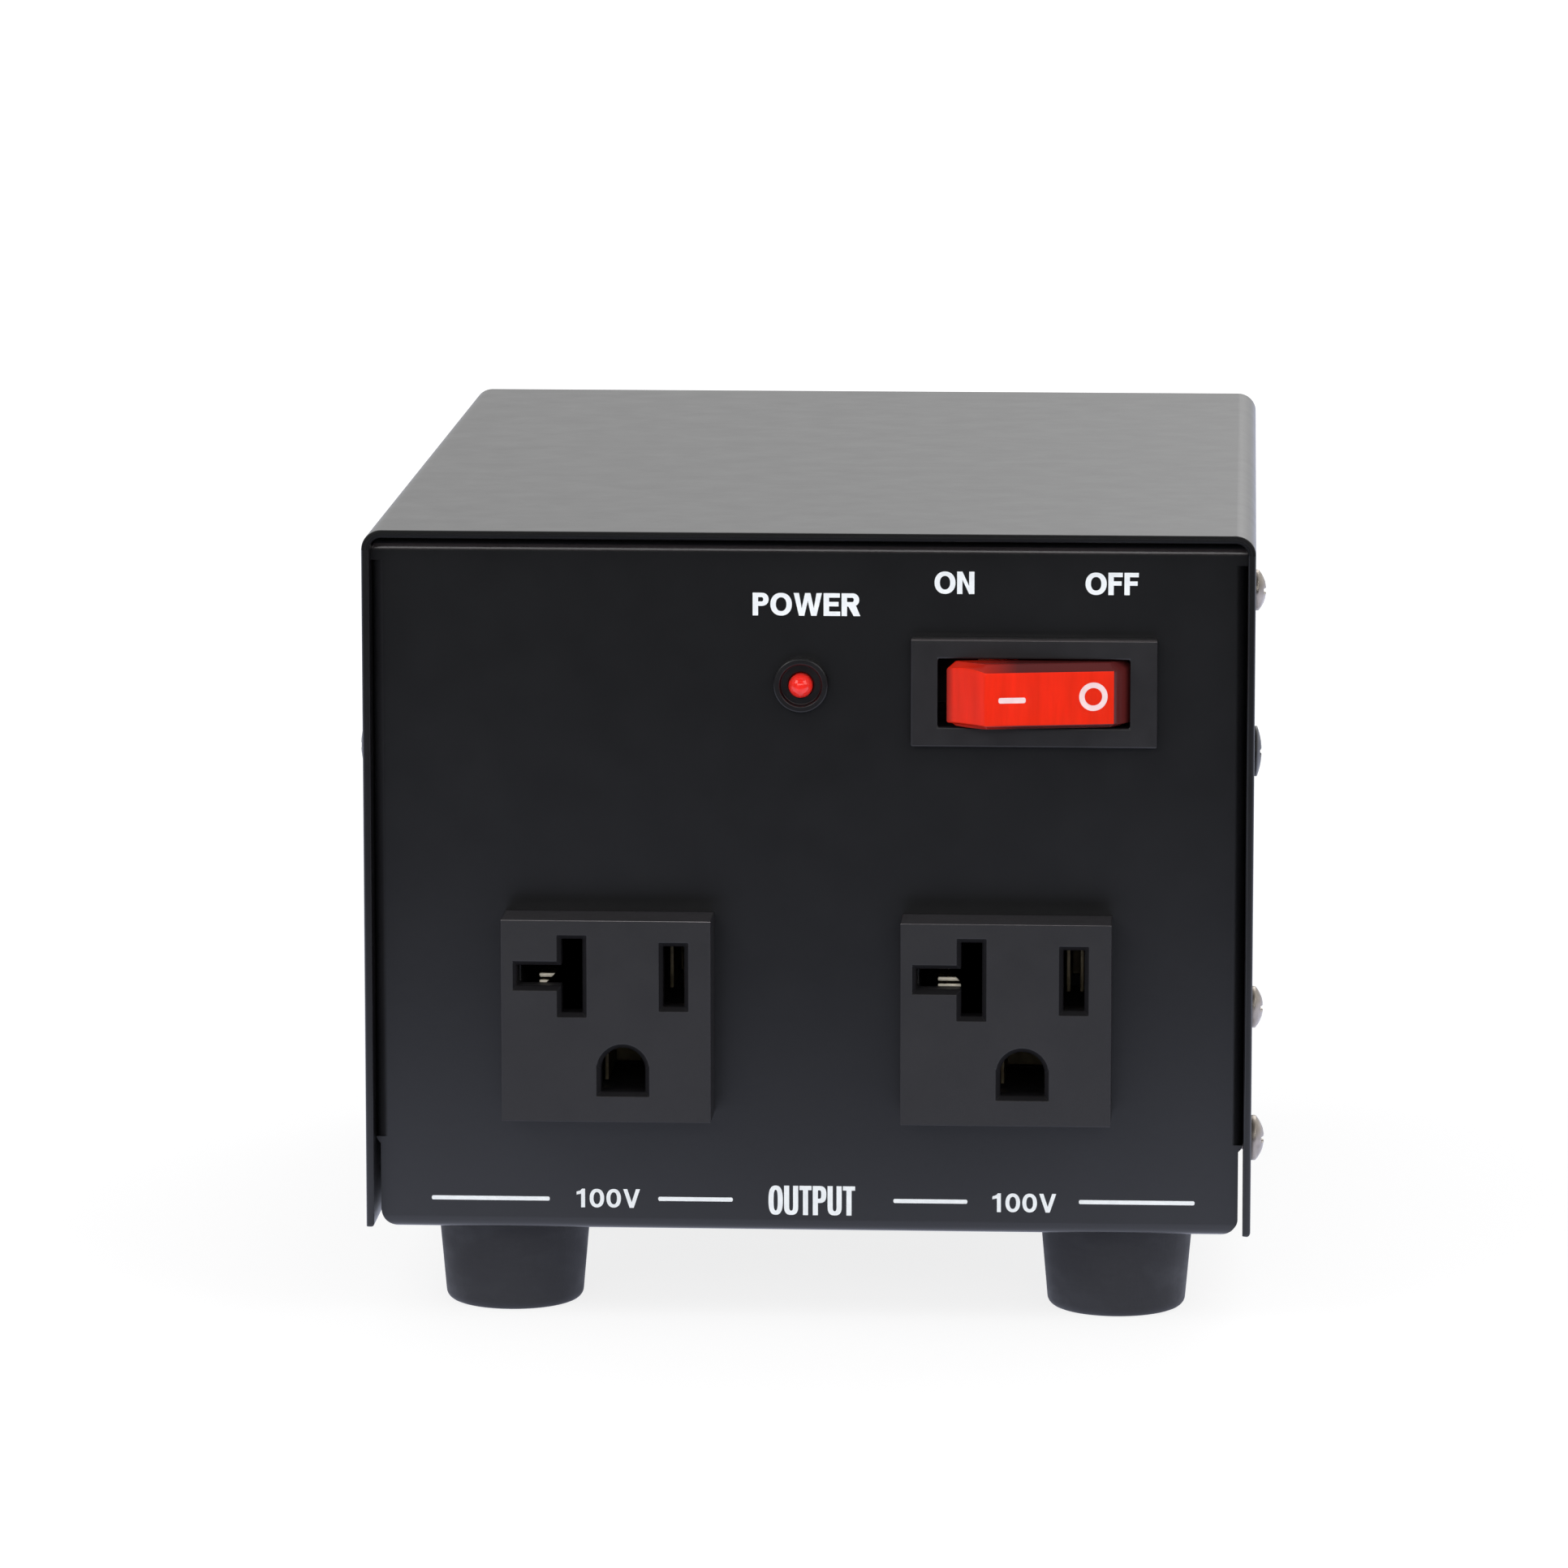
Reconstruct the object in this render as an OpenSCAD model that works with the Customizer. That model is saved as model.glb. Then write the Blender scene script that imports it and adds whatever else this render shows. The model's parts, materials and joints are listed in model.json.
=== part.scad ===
// Step-down transformer in a bent steel case, with two outlets, a rocker switch and a pilot lamp.
// Millimetres. +X is right, -Y is the front and +Z is up. The origin is on the floor, under the middle of the outline.

/* [Case] */
// Outer width of the cover
case_w = 111; // [108:1:130]
// Depth of the cover, from its front edge to its rear edge
case_d = 155; // [152:1:200]
// Height of the cover's roof above the underside of the floor
case_h = 89; // [87:1:120]
// Height of the side walls' lower edges above the underside of the floor
wall_lift = 0.6; // [0:0.1:1.5]
// Sheet thickness of the cover
cover_t = 1; // [0.6:0.1:1.5]
// Outer radius of the cover's two long bends
cover_bend_r = 2.5; // [2:0.5:5]
// Sheet thickness of the chassis
chassis_t = 1.2; // [0.8:0.1:1.6]
// Outer radius of the chassis bends
chassis_bend_r = 1.6; // [1.6:0.1:2.5]
// Gap between the panels' flanges and the cover's side walls
side_gap = 0; // [0:0.05:0.3]
// How much further the floor's side flanges stand from the cover's side walls
floor_gap = 0.6; // [0.2:0.1:1]
// Gap between the chassis flanges and the cover's roof
top_gap = 0.3; // [0.2:0.1:1]
// How far the front and rear panels stand back from the cover's edges
panel_recess = 3; // [1:0.5:5]
// Height of the floor's side flanges
floor_flange_h = 10.5; // [10.5:0.5:16]
// Depth of the flanges on the front and rear panels
panel_flange_w = 12; // [11:0.5:14]
// Width of the relief notches where bends meet
notch_w = 1.2; // [0.8:0.1:2]

/* [Cover vents and screws] */
// Slots in each side of the cover
vent_count = 9; // [3:1:10]
// Width of a slot
vent_w = 3; // [2:0.5:3.5]
// Height of a slot
vent_h = 36; // [20:1:42]
// Distance between slots
vent_pitch = 8; // [6:0.5:9]
// Thread radius of the cover screws
screw_r = 1.5; // [1.2:0.1:2]
// Length of the cover screws under the head
screw_len = 6; // [5:0.5:8]
// Radius of a nickel cover screw's domed head
dome_head_r = 2.9; // [2.6:0.1:3.5]
// Height of a nickel cover screw's domed head
dome_head_h = 1.7; // [1.2:0.1:2]
// Radius of a black front screw's low head
low_head_r = 3.15; // [2.6:0.05:3.4]
// Height of a black front screw's low head
low_head_h = 0.9; // [0.7:0.1:1.4]

/* [Feet] */
// Height of a rubber foot
foot_h = 12.5; // [9:0.5:20]
// Radius of a foot at the top
foot_top_r = 9.8; // [8:0.2:12]
// Radius of a foot at the floor
foot_base_r = 8.8; // [7.5:0.1:12]
// Distance of the foot centres from the cover's sides
foot_side_in = 17; // [16:0.5:20]
// Distance of the foot centres from the cover's front and rear edges
foot_inset = 20; // [17:1:24]

/* [Outlets] */
// Width of an outlet's face
outlet_w = 26.2; // [25.4:0.2:28]
// Height of an outlet's face
outlet_h = 25.5; // [25:0.5:28]
// How far an outlet stands out of the front panel
outlet_proud = 7; // [5:0.5:9]
// Depth of an outlet behind the front panel
outlet_depth = 16; // [14:0.5:18]
// Distance of the outlet centres from the case's middle plane
outlet_x = 24.9; // [20:0.1:30]
// Height of the outlet centres above the chassis floor's underside
outlet_z = 28; // [22:0.2:34]
// Distance between the two blade slots
blade_pitch = 12.7; // [12.7:0.1:12.7]
// Drop from the blade slots to the ground hole
ground_drop = 11.9; // [11.9:0.1:11.9]

/* [Rocker switch] */
// Width of the switch bezel
bezel_w = 30.6; // [30.4:0.1:31]
// Height of the switch bezel
bezel_h = 13.6; // [13.4:0.2:16]
// Thickness of the switch bezel
bezel_t = 2; // [1.5:0.1:2.5]
// Distance of the switch centre from the case's middle plane
switch_x = 28.1; // [24:0.1:30]
// Drop from the top of the case to the switch centre
switch_drop = 20; // [18:0.1:22]
// Radius of the rocker's curved ends, about its pivot
rocker_r = 14.1; // [13.9:0.05:14.15]
// Distance from the bezel's face to the rocker's pivot
pivot_depth = 8.7; // [8.5:0.1:8.9]
// Tilt of the rocker to each side
rocker_tilt = 10; // [8:0.5:10]
// Tilt of the contact lever to each side
lever_tilt = 5; // [4:0.5:5]

/* [Pilot lamp] */
// Radius of the lamp lens
lens_r = 1.5; // [1.4:0.1:1.6]
// Radius of the lamp holder's rim
lamp_rim_r = 3.4; // [3.2:0.1:4]
// How far the lamp holder stands out of the front panel
lamp_proud = 1.5; // [1:0.1:2.5]
// Distance of the lamp centre from the case's middle plane
lamp_x = -0.9; // [-4:0.1:2]
// Drop from the top of the case to the lamp centre
lamp_drop = 19.3; // [16:0.1:22]

/* [Transformer] */
// Least gap between the core and each side wall of the cover
core_side_gap = 6.5; // [5:0.5:12]
// Least gap between the core and the cover's roof
core_top_gap = 5.8; // [5.6:0.2:12]
// Distance from the front panel's face to the core
core_front_in = 57.5; // [57:0.5:62]
// Distance from the rear panel's face to the core
core_rear_in = 51.5; // [51:0.5:56]
// Radius of the core bolts
core_bolt_r = 2.5; // [2:0.1:2.5]
// Thickness of the steel clamps on the core
clamp_t = 2; // [1.5:0.1:2.5]

/* [Rear panel] */
// Distance of the fuse holder's centre from the cover's right side
fuse_side_in = 15.5; // [13.5:0.5:16.5]
// Height of the fuse holder and of the cord gland above the chassis floor's underside
rear_row_z = 50; // [40:1:60]
// Radius of the fuse holder's barrel
fuse_barrel_r = 6; // [5.6:0.1:6.2]
// Length of a fuse cartridge
fuse_len = 20; // [20:1:20]
// Radius of a fuse cartridge's end caps
fuse_r = 2.6; // [2.5:0.05:2.7]
// Distance of the cord gland's centre from the cover's left side
gland_side_in = 17.5; // [16.5:0.5:19.5]
// Radius of the cord gland's thread
gland_thread_r = 7.6; // [7:0.1:8]
// Radius of the gland's opening for the mains lead
gland_bore_r = 4.2; // [3:0.1:4.6]

/* [Hidden] */
$fn = 48;

// Clearances shared by mating pieces
cut = 1;
fit = 0.2;
thread_fit = 0.05;
run_fit = 0.05;

// The case frame: its Y origin is the middle of the cover and its Z origin is the underside of the floor
chassis_w = case_w - 2 * (cover_t + side_gap);
floor_w = chassis_w - 2 * floor_gap;
chassis_h = case_h - cover_t - top_gap;
panel_y = -case_d / 2 + panel_recess;
rear_y = case_d / 2 - panel_recess;
chassis_d = rear_y - panel_y;
flange_z0 = floor_flange_h + notch_w;
flange_z1 = chassis_h - chassis_bend_r - notch_w;
floor_corner_r = 2.5;
wall_x = case_w / 2;

// Screw places on each side wall: distance behind the front edge, height above the floor's underside
low_row_z = 7.6;
low_front_in = 28;
low_rear_share = 0.76;
rear_screw_in = 11;
rear_screw_drop = 26.6;
black_screw_in = 7.6;
black_screw_drop = 28;
nickel_places = [
    [-case_d / 2 + low_front_in, low_row_z],
    [-case_d / 2 + low_rear_share * case_d, low_row_z],
    [case_d / 2 - rear_screw_in, case_h - rear_screw_drop]];
black_places = [[-case_d / 2 + black_screw_in, case_h - black_screw_drop]];
recess_w = 0.7;
recess_len_share = 0.55;
recess_depth_share = 0.6;
head_rim_share = 0.35;
dome_shares = [1, 0.8, 0.6, 0.4, 0.2, 0];

// Vents
vent_z_share = 0.53;

// Feet and their fasteners
foot_fillet = 1.2;
foot_recess_r = 4.4;
foot_recess_h_share = 0.5;
foot_screw_r = 2;
foot_head_r = 3.6;
foot_head_h = 2.4;
nut_h = 3.2;
nut_r = 4.04;
nut_spare = 1;
foot_x = wall_x - foot_side_in;
foot_y = case_d / 2 - foot_inset;
foot_recess_h = foot_h * foot_recess_h_share;

// Outlets
outlet_neck_step = 1.1;
outlet_skin = 3;
outlet_back_t = 2.5;
pattern_x = 2.1;
slot_z = 5.7;
slot_w = 2.6;
slot_h = 7.6;
slot_rim = 0.55;
t_slot_extra = 1.7;
t_leg_len = 4.3;
t_leg_h = 2.6;
t_leaf_drop = 0.9;
t_leaf_set_back = 0.3;
ground_r = 2.75;
ground_h = 5.6;
chamber_w = 4.6;
chamber_h = 9.6;
jaw_t = 0.5;
jaw_gap = 1.2;
jaw_w = 6.4;
jaw_set_back = 7;
t_jaw_gap = 0.35;
t_jaw_len = 3.2;
ground_jaw_gap = 5;
ground_chamber_w = 7.4;
ground_chamber_h = 7.2;
tab_w = 6.3;
tab_t = 0.8;
tab_len = 7;
clip_out = 0.9;
clip_len = 3;
clip_h = 8;
outlet_face_y = panel_y - outlet_proud;
outlet_neck_w = outlet_w - 2 * outlet_neck_step;
outlet_neck_h = outlet_h - 2 * outlet_neck_step;
outlet_rear_y = panel_y + outlet_depth;
chamber_y = outlet_face_y + outlet_skin;
jaw_y = chamber_y + jaw_set_back;
leaf_y = chamber_y + t_leaf_set_back;
tab_end_y = outlet_rear_y + outlet_back_t + tab_len;

// Switch
housing_w = 28.4;
housing_h = 12;
cavity_w = 27.4;
cavity_h = 8.6;
cavity_end_r = 14.7;
cavity_depth = 20;
housing_floor_t = 1.5;
rocker_face_d = 11.55;
rocker_skirt_y = 6.9;
rocker_chamfer = 1;
rocker_hub_r = 2.2;
rocker_stem_w = 6;
pivot_r = 1.2;
plunger_r = 1;
plunger_boss_w = 4;
plunger_boss_len = 4.6;
plunger_reach = 7.95;
plunger_bore_len = 4;
lever_len = 15;
lever_t = 0.8;
lever_w = 5;
lever_y = 8.6;
lever_gap = 0.2;
knuckle_r = 1;
fulcrum_w = 3.2;
contact_len = 3;
contact_x = 6.6;
switch_z = case_h - switch_drop;
pivot_y = panel_y - bezel_t + pivot_depth;
cavity_end_y = panel_y - bezel_t + cavity_depth;
housing_rear_y = cavity_end_y + housing_floor_t;
terminal_end_y = housing_rear_y + tab_len;

// Pilot lamp
lamp_barrel_r = 2.9;
lamp_recess_r = 2.6;
lamp_recess = 0.8;
lamp_barrel_len = 9;
led_flange_r = 1.9;
led_flange_t = 1;
led_body_len = 5.3;
led_lead_w = 0.5;
led_lead_len = 8;
led_lead_pitch = 2.54;
lamp_ring_w = 1.6;
lamp_ring_t = 2;
lamp_z = case_h - lamp_drop;

// Transformer: standard E and I laminations are six legs wide and five high, and the largest that fits is used
core_z0 = chassis_t;
core_leg = min((case_w - 2 * (cover_t + core_side_gap)) / 6, (case_h - cover_t - core_z0 - core_top_gap) / 5);
core_w = 6 * core_leg;
window_h = 3 * core_leg;
core_h = window_h + 2 * core_leg;
core_front_y = panel_y + core_front_in;
core_rear_y = rear_y - core_rear_in;
core_stack = core_rear_y - core_front_y;
core_y = (core_front_y + core_rear_y) / 2;
centre_leg_w = 2 * core_leg;
window_w = core_leg;
bolt_inset = core_leg / 2;
bobbin_clear = 0.3;
bobbin_t = 1.2;
bobbin_flange_t = 1.5;
bobbin_corner_r = 2;
bobbin_z0 = core_z0 + core_leg + bobbin_clear;
bobbin_z1 = core_z0 + core_leg + window_h - bobbin_clear;
layer_gap = 0.3;
primary_share = 0.5;
tape_t = 0.8;
winding_room = window_w - bobbin_clear - bobbin_t - bobbin_clear - tape_t - 3 * layer_gap;
primary_t = winding_room * primary_share;
secondary_t = winding_room - primary_t;
coil_reach = bobbin_clear + bobbin_t + winding_room + tape_t + 3 * layer_gap;
coil_front_y = core_front_y - coil_reach;
coil_rear_y = core_rear_y + coil_reach;
cutoff_size = [16, 4, 6];
clamp_leg_drop = 1;
clamp_leg_h = core_leg - clamp_leg_drop;
clamp_foot_len = 13;
clamp_bend_r = 1.5;
clamp_screw_side_in = 14;
clamp_screw_x = core_w / 2 - clamp_screw_side_in;
clamp_screw_in = 8;
core_bolt_head_h = 3.2;
core_nut_h = 4;
core_nut_r = 4.62;
clamp_screw_r = 2;

// Rear panel
fuse_x = wall_x - fuse_side_in;
gland_x = wall_x - gland_side_in;
fuse_flange_r = 7.6;
fuse_flange_t = 2.4;
fuse_barrel_len = 33;
fuse_cap_r = 5.4;
fuse_cap_len = 5;
fuse_stem_r = 4.5;
fuse_stem_len = 9;
fuse_bore_r = 3.2;
fuse_nut_r = 9;
fuse_nut_h = 3;
fuse_glass_r = 2.4;
fuse_end_len = 5.5;
fuse_socket_len = 4;
fuse_spigot_r = 3;
fuse_spigot_len = 2.5;
grip_count = 12;
grip_r = 0.5;
coin_slot_w = 1.4;
fuse_tab_inset = 9;
gland_hex_r = 11;
gland_hex_h = 5;
gland_thread_in = 9;
gland_neck_r = 6.9;
gland_neck_len = 8;
gland_way_r = 5.4;
gland_dome_len = 12;
gland_dome_r = 9.3;
gland_mouth_r = 4.8;
gland_seal_t = 0.9;
gland_lock_h = 4;

// Earth stud
stud_r = 2;
stud_len = 13;
stud_head_r = 4;
stud_head_h = 0.8;
stud_foot_gap = 14;
stud_x = foot_x - stud_foot_gap;
stud_in = 11;
lug_t = 0.8;
lug_r = 4;
lug_barrel_r = 1.6;
lug_barrel_len = 5;

// Terminal strip
strip_w = 40;
strip_foot_gap = 12;
strip_x = -foot_x + strip_foot_gap + strip_w / 2;
strip_d = 14;
strip_h = 13;
strip_in = 24;
strip_poles = 2;
strip_pitch = 9;
strip_wire_r = 1.7;
strip_wire_z = 5;
strip_well_r = 2.2;
strip_insert_r = 2.4;
strip_screw_r = 1.5;
strip_fix_in = 3.5;
strip_fix_x = strip_w / 2 - strip_fix_in;
strip_y = rear_y - strip_in;

// The part stands with its outline centred on the origin
gland_reach = gland_hex_h + gland_dome_len;
rear_reach = rear_y + gland_reach;
front_reach = -outlet_face_y;
y_shift = (front_reach - rear_reach) / 2;

black = [0.13, 0.13, 0.14];
moulding = [0.2, 0.2, 0.22];
rubber = [0.16, 0.16, 0.17];
nickel = [0.66, 0.63, 0.58];
brass = [0.8, 0.66, 0.36];
steel = [0.62, 0.62, 0.63];
red = [0.92, 0.15, 0.08];

// Moves pieces from the case frame to the part's own frame
module in_place() {
    translate([0, y_shift, foot_h]) children();
}

// A box between two opposite corners
module block(low, high) {
    translate(low) cube(high - low);
}

// A round bar along X, Y or Z
module rod_x(r, from_x, to_x) {
    translate([from_x, 0, 0]) rotate([0, 90, 0]) cylinder(r = r, h = to_x - from_x);
}

module rod_y(r, from_y, to_y) {
    translate([0, from_y, 0]) rotate([-90, 0, 0]) cylinder(r = r, h = to_y - from_y);
}

module rod_z(r, from_z, to_z) {
    translate([0, 0, from_z]) cylinder(r = r, h = to_z - from_z);
}

// A hexagon bar along Y or Z
module hex_y(r, from_y, to_y) {
    translate([0, from_y, 0]) rotate([-90, 0, 0]) cylinder(r = r, h = to_y - from_y, $fn = 6);
}

module hex_z(r, from_z, to_z) {
    translate([0, 0, from_z]) cylinder(r = r, h = to_z - from_z, $fn = 6);
}

// A flat outline in Y and Z drawn out along X, and one in X and Z drawn out along Y
module along_x(from_x, to_x) {
    translate([from_x, 0, 0]) rotate([90, 0, 90]) linear_extrude(to_x - from_x) children();
}

module along_y(from_y, to_y) {
    translate([0, to_y, 0]) rotate([90, 0, 0]) linear_extrude(to_y - from_y) children();
}

module along_z(from_z, to_z) {
    translate([0, 0, from_z]) linear_extrude(to_z - from_z) children();
}

// A rectangle between two corners, with round corners
module round_box_2d(low, high, r) {
    size = high - low;
    translate(low + [r, 0]) square([size[0] - 2 * r, size[1]]);
    translate(low + [0, r]) square([size[0], size[1] - 2 * r]);
    for (x = [low[0] + r, high[0] - r], y = [low[1] + r, high[1] - r]) translate([x, y]) circle(r);
}

// A sheet bent round a rectangle, seen from its end
module bent_sheet_2d(low, high, r, t) {
    difference() {
        round_box_2d(low, high, r);
        round_box_2d(low + [t, t], high - [t, t], r - t);
    }
}

// A slot with round ends, standing on its end
module slot_2d(w, h) {
    square([w, h - w], center = true);
    for (end = [-1, 1]) translate([0, end * (h - w) / 2]) circle(w / 2);
}

// Both sides of the case, where side is -1 for the left and 1 for the right
module both_sides() {
    children();
    mirror([1, 0, 0]) children();
}

// CHASSIS

// A panel seen from the front, narrower below its flanges
module chassis_outline_2d() {
    round_box_2d([-floor_w / 2, 0], [floor_w / 2, chassis_h - chassis_bend_r], floor_corner_r);
    round_box_2d([-chassis_w / 2, flange_z0 - notch_w], [chassis_w / 2, chassis_h], chassis_bend_r);
}

// Floor, two panels and their top flanges: one strip bent four times
module chassis_strip() {
    intersection() {
        difference() {
            along_x(-chassis_w / 2, chassis_w / 2)
                bent_sheet_2d([panel_y, 0], [rear_y, chassis_h], chassis_bend_r, chassis_t);
            block([-chassis_w, panel_y + panel_flange_w, chassis_h - chassis_bend_r - cut],
                [chassis_w, rear_y - panel_flange_w, chassis_h + cut]);
        }
        along_y(panel_y - cut, rear_y + cut) chassis_outline_2d();
    }
}

// The flanges that stand up from the floor's sides
module floor_flanges() {
    difference() {
        along_y(panel_y + chassis_bend_r + notch_w, rear_y - chassis_bend_r - notch_w)
            bent_sheet_2d([-floor_w / 2, 0], [floor_w / 2, chassis_h], chassis_bend_r, chassis_t);
        block([-chassis_w, panel_y - cut, floor_flange_h], [chassis_w, rear_y + cut, chassis_h + cut]);
    }
}

// The flanges that turn back from the panels' upright edges
module panel_flanges() {
    difference() {
        along_z(flange_z0, flange_z1)
            bent_sheet_2d([-chassis_w / 2, panel_y], [chassis_w / 2, rear_y], chassis_bend_r, chassis_t);
        block([-chassis_w, panel_y + panel_flange_w, 0], [chassis_w, rear_y - panel_flange_w, chassis_h]);
    }
}

// The corner of a panel outside the upright bends
module bend_corners() {
    difference() {
        block([-chassis_w, panel_y - cut, flange_z0], [chassis_w, rear_y + cut, flange_z1]);
        along_z(flange_z0 - cut, flange_z1 + cut)
            round_box_2d([-chassis_w / 2, panel_y], [chassis_w / 2, rear_y], chassis_bend_r);
    }
}

module outlet_cut_out() {
    w = outlet_neck_w / 2 + fit;
    h = outlet_neck_h / 2 + fit;
    block([-w, panel_y - cut, -h], [w, panel_y + chassis_t + cut, h]);
}

module switch_cut_out() {
    w = housing_w / 2 + fit;
    h = housing_h / 2 + fit;
    block([-w, panel_y - cut, -h], [w, panel_y + chassis_t + cut, h]);
}

module chassis() {
    color(black) in_place() difference() {
        union() {
            difference() {
                chassis_strip();
                bend_corners();
            }
            floor_flanges();
            panel_flanges();
        }
        both_sides() for (p = concat(nickel_places, black_places))
            translate([0, p[0], p[1]]) rod_x(screw_r + thread_fit, floor_w / 2 - chassis_t - cut, wall_x);
        for (side = [-1, 1]) translate([side * outlet_x, 0, outlet_z]) outlet_cut_out();
        translate([switch_x, 0, switch_z]) switch_cut_out();
        translate([lamp_x, 0, lamp_z]) rod_y(lamp_barrel_r + fit, panel_y - cut, panel_y + chassis_t + cut);
        translate([fuse_x, 0, rear_row_z]) rod_y(fuse_barrel_r + fit, rear_y - chassis_t - cut, rear_y + cut);
        translate([-gland_x, 0, rear_row_z]) rod_y(gland_thread_r + fit, rear_y - chassis_t - cut, rear_y + cut);
        at_feet() rod_z(foot_screw_r + fit, -cut, chassis_t + cut);
        at_clamp_screws() rod_z(clamp_screw_r + fit, -cut, chassis_t + cut);
        at_stud() rod_z(stud_r + thread_fit, -cut, chassis_t + cut);
        at_strip_screws() rod_z(strip_screw_r + thread_fit, -cut, chassis_t + cut);
    }
}

// COVER

module cover() {
    color(black) in_place() difference() {
        along_y(-case_d / 2, case_d / 2) difference() {
            bent_sheet_2d([-wall_x, -case_h], [wall_x, case_h], cover_bend_r, cover_t);
            translate([-case_w, -2 * case_h]) square([2 * case_w, 2 * case_h + wall_lift]);
        }
        both_sides() for (p = concat(nickel_places, black_places))
            translate([0, p[0], p[1]]) rod_x(screw_r + fit, wall_x - cover_t - cut, wall_x + cut);
        for (i = [0 : vent_count - 1])
            translate([0, (i - (vent_count - 1) / 2) * vent_pitch, case_h * vent_z_share])
                along_x(-wall_x - cut, wall_x + cut) slot_2d(vent_w, vent_h);
    }
}

// A cross-recessed screw along +X with its head's seat at X zero
module panel_screw(head_r, head_h) {
    rim = head_h * head_rim_share;
    rise = head_h - rim;
    ball_r = (head_r * head_r + rise * rise) / (2 * rise);
    half_angle = asin(head_r / ball_r);
    dome = [for (share = dome_shares) let (a = half_angle * share) [
        ball_r * sin(a), head_h - ball_r + ball_r * cos(a)]];
    arm = head_r * recess_len_share;
    deep = head_h * recess_depth_share;
    difference() {
        rotate([0, 90, 0]) rotate_extrude()
            polygon(concat([[0, -screw_len], [screw_r, -screw_len], [screw_r, 0], [head_r, 0]], dome));
        along_x(head_h - deep, head_h + cut) {
            square([2 * arm, recess_w], center = true);
            square([recess_w, 2 * arm], center = true);
        }
    }
}

module cover_screws() {
    color(nickel) in_place() both_sides() for (p = nickel_places)
        translate([wall_x, p[0], p[1]]) panel_screw(dome_head_r, dome_head_h);
}

module front_screws() {
    color(black) in_place() both_sides() for (p = black_places)
        translate([wall_x, p[0], p[1]]) panel_screw(low_head_r, low_head_h);
}

// FEET

module at_feet() {
    for (x = [-foot_x, foot_x], y = [-foot_y, foot_y]) translate([x, y, 0]) children();
}

module foot(x, y) {
    fillet_arc = [for (a = [0 : 15 : 90]) [
        foot_base_r - foot_fillet + foot_fillet * cos(a - 90),
        -foot_h + foot_fillet + foot_fillet * sin(a - 90)]];
    color(rubber) in_place() translate([x, y, 0]) rotate_extrude() polygon(concat(
        [[foot_screw_r + fit, 0], [foot_screw_r + fit, -foot_h + foot_recess_h],
            [foot_recess_r, -foot_h + foot_recess_h], [foot_recess_r, -foot_h]],
        fillet_arc,
        [[foot_top_r, 0]]));
}

module foot_screws() {
    color(steel) in_place() at_feet() {
        rod_z(foot_head_r, -foot_h + foot_recess_h - foot_head_h, -foot_h + foot_recess_h);
        rod_z(foot_screw_r, -foot_h + foot_recess_h - foot_head_h, chassis_t + nut_h + nut_spare);
    }
}

module foot_nuts() {
    color(steel) in_place() at_feet() difference() {
        hex_z(nut_r, chassis_t, chassis_t + nut_h);
        rod_z(foot_screw_r + thread_fit, 0, chassis_t + nut_h + cut);
    }
}

// OUTLETS

// A rectangular slot through the outlet's skin, with a sloping rim, on the Y axis
module rimmed_slot(w, h) {
    rim = slot_rim;
    intersection() {
        along_z(-h, h) polygon([
            [-w / 2 - 2 * rim, outlet_face_y - rim], [w / 2 + 2 * rim, outlet_face_y - rim],
            [w / 2, outlet_face_y + rim], [w / 2, chamber_y + cut],
            [-w / 2, chamber_y + cut], [-w / 2, outlet_face_y + rim]]);
        along_x(-w, w) polygon([
            [outlet_face_y - rim, -h / 2 - 2 * rim], [outlet_face_y - rim, h / 2 + 2 * rim],
            [outlet_face_y + rim, h / 2], [chamber_y + cut, h / 2],
            [chamber_y + cut, -h / 2], [outlet_face_y + rim, -h / 2]]);
    }
}

module sloped_rim_cone(r) {
    translate([0, outlet_face_y - slot_rim, 0]) rotate([-90, 0, 0])
        cylinder(r1 = r + 2 * slot_rim, r2 = r, h = 2 * slot_rim);
}

// The ground hole: a round arch over a flat sill
module ground_hole() {
    arch_z = ground_h / 2 - ground_r;
    translate([0, 0, arch_z]) {
        rod_y(ground_r, outlet_face_y, chamber_y + cut);
        sloped_rim_cone(ground_r);
    }
    translate([0, 0, -(ground_h / 2 - arch_z) / 2 + arch_z])
        rimmed_slot(2 * ground_r, ground_h / 2 + arch_z);
}

module outlet_openings() {
    translate([pattern_x + blade_pitch / 2, 0, slot_z]) {
        rimmed_slot(slot_w, slot_h);
        block([-chamber_w / 2, chamber_y, -chamber_h / 2], [chamber_w / 2, outlet_rear_y + cut, chamber_h / 2]);
    }
    translate([pattern_x - blade_pitch / 2, 0, slot_z]) {
        rimmed_slot(slot_w, slot_h + t_slot_extra);
        translate([-(slot_w + t_leg_len) / 2, 0, 0]) rimmed_slot(t_leg_len + slot_w, t_leg_h);
        block([-chamber_w / 2 - t_leg_len, chamber_y, -chamber_h / 2],
            [chamber_w / 2, outlet_rear_y + cut, chamber_h / 2]);
    }
    translate([pattern_x, 0, slot_z - ground_drop]) {
        ground_hole();
        block([-ground_chamber_w / 2, chamber_y, -ground_chamber_h / 2],
            [ground_chamber_w / 2, outlet_rear_y + cut, ground_chamber_h / 2]);
    }
}

// A spring clip that holds a moulding behind the front panel, on the side that +X faces
module panel_clip(x, h) {
    behind = panel_y + chassis_t + fit;
    translate([0, 0, -h / 2]) linear_extrude(h)
        polygon([[x - clip_out, behind], [x + clip_out, behind], [x, behind + clip_len], [x - clip_out, behind + clip_len]]);
}

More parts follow.
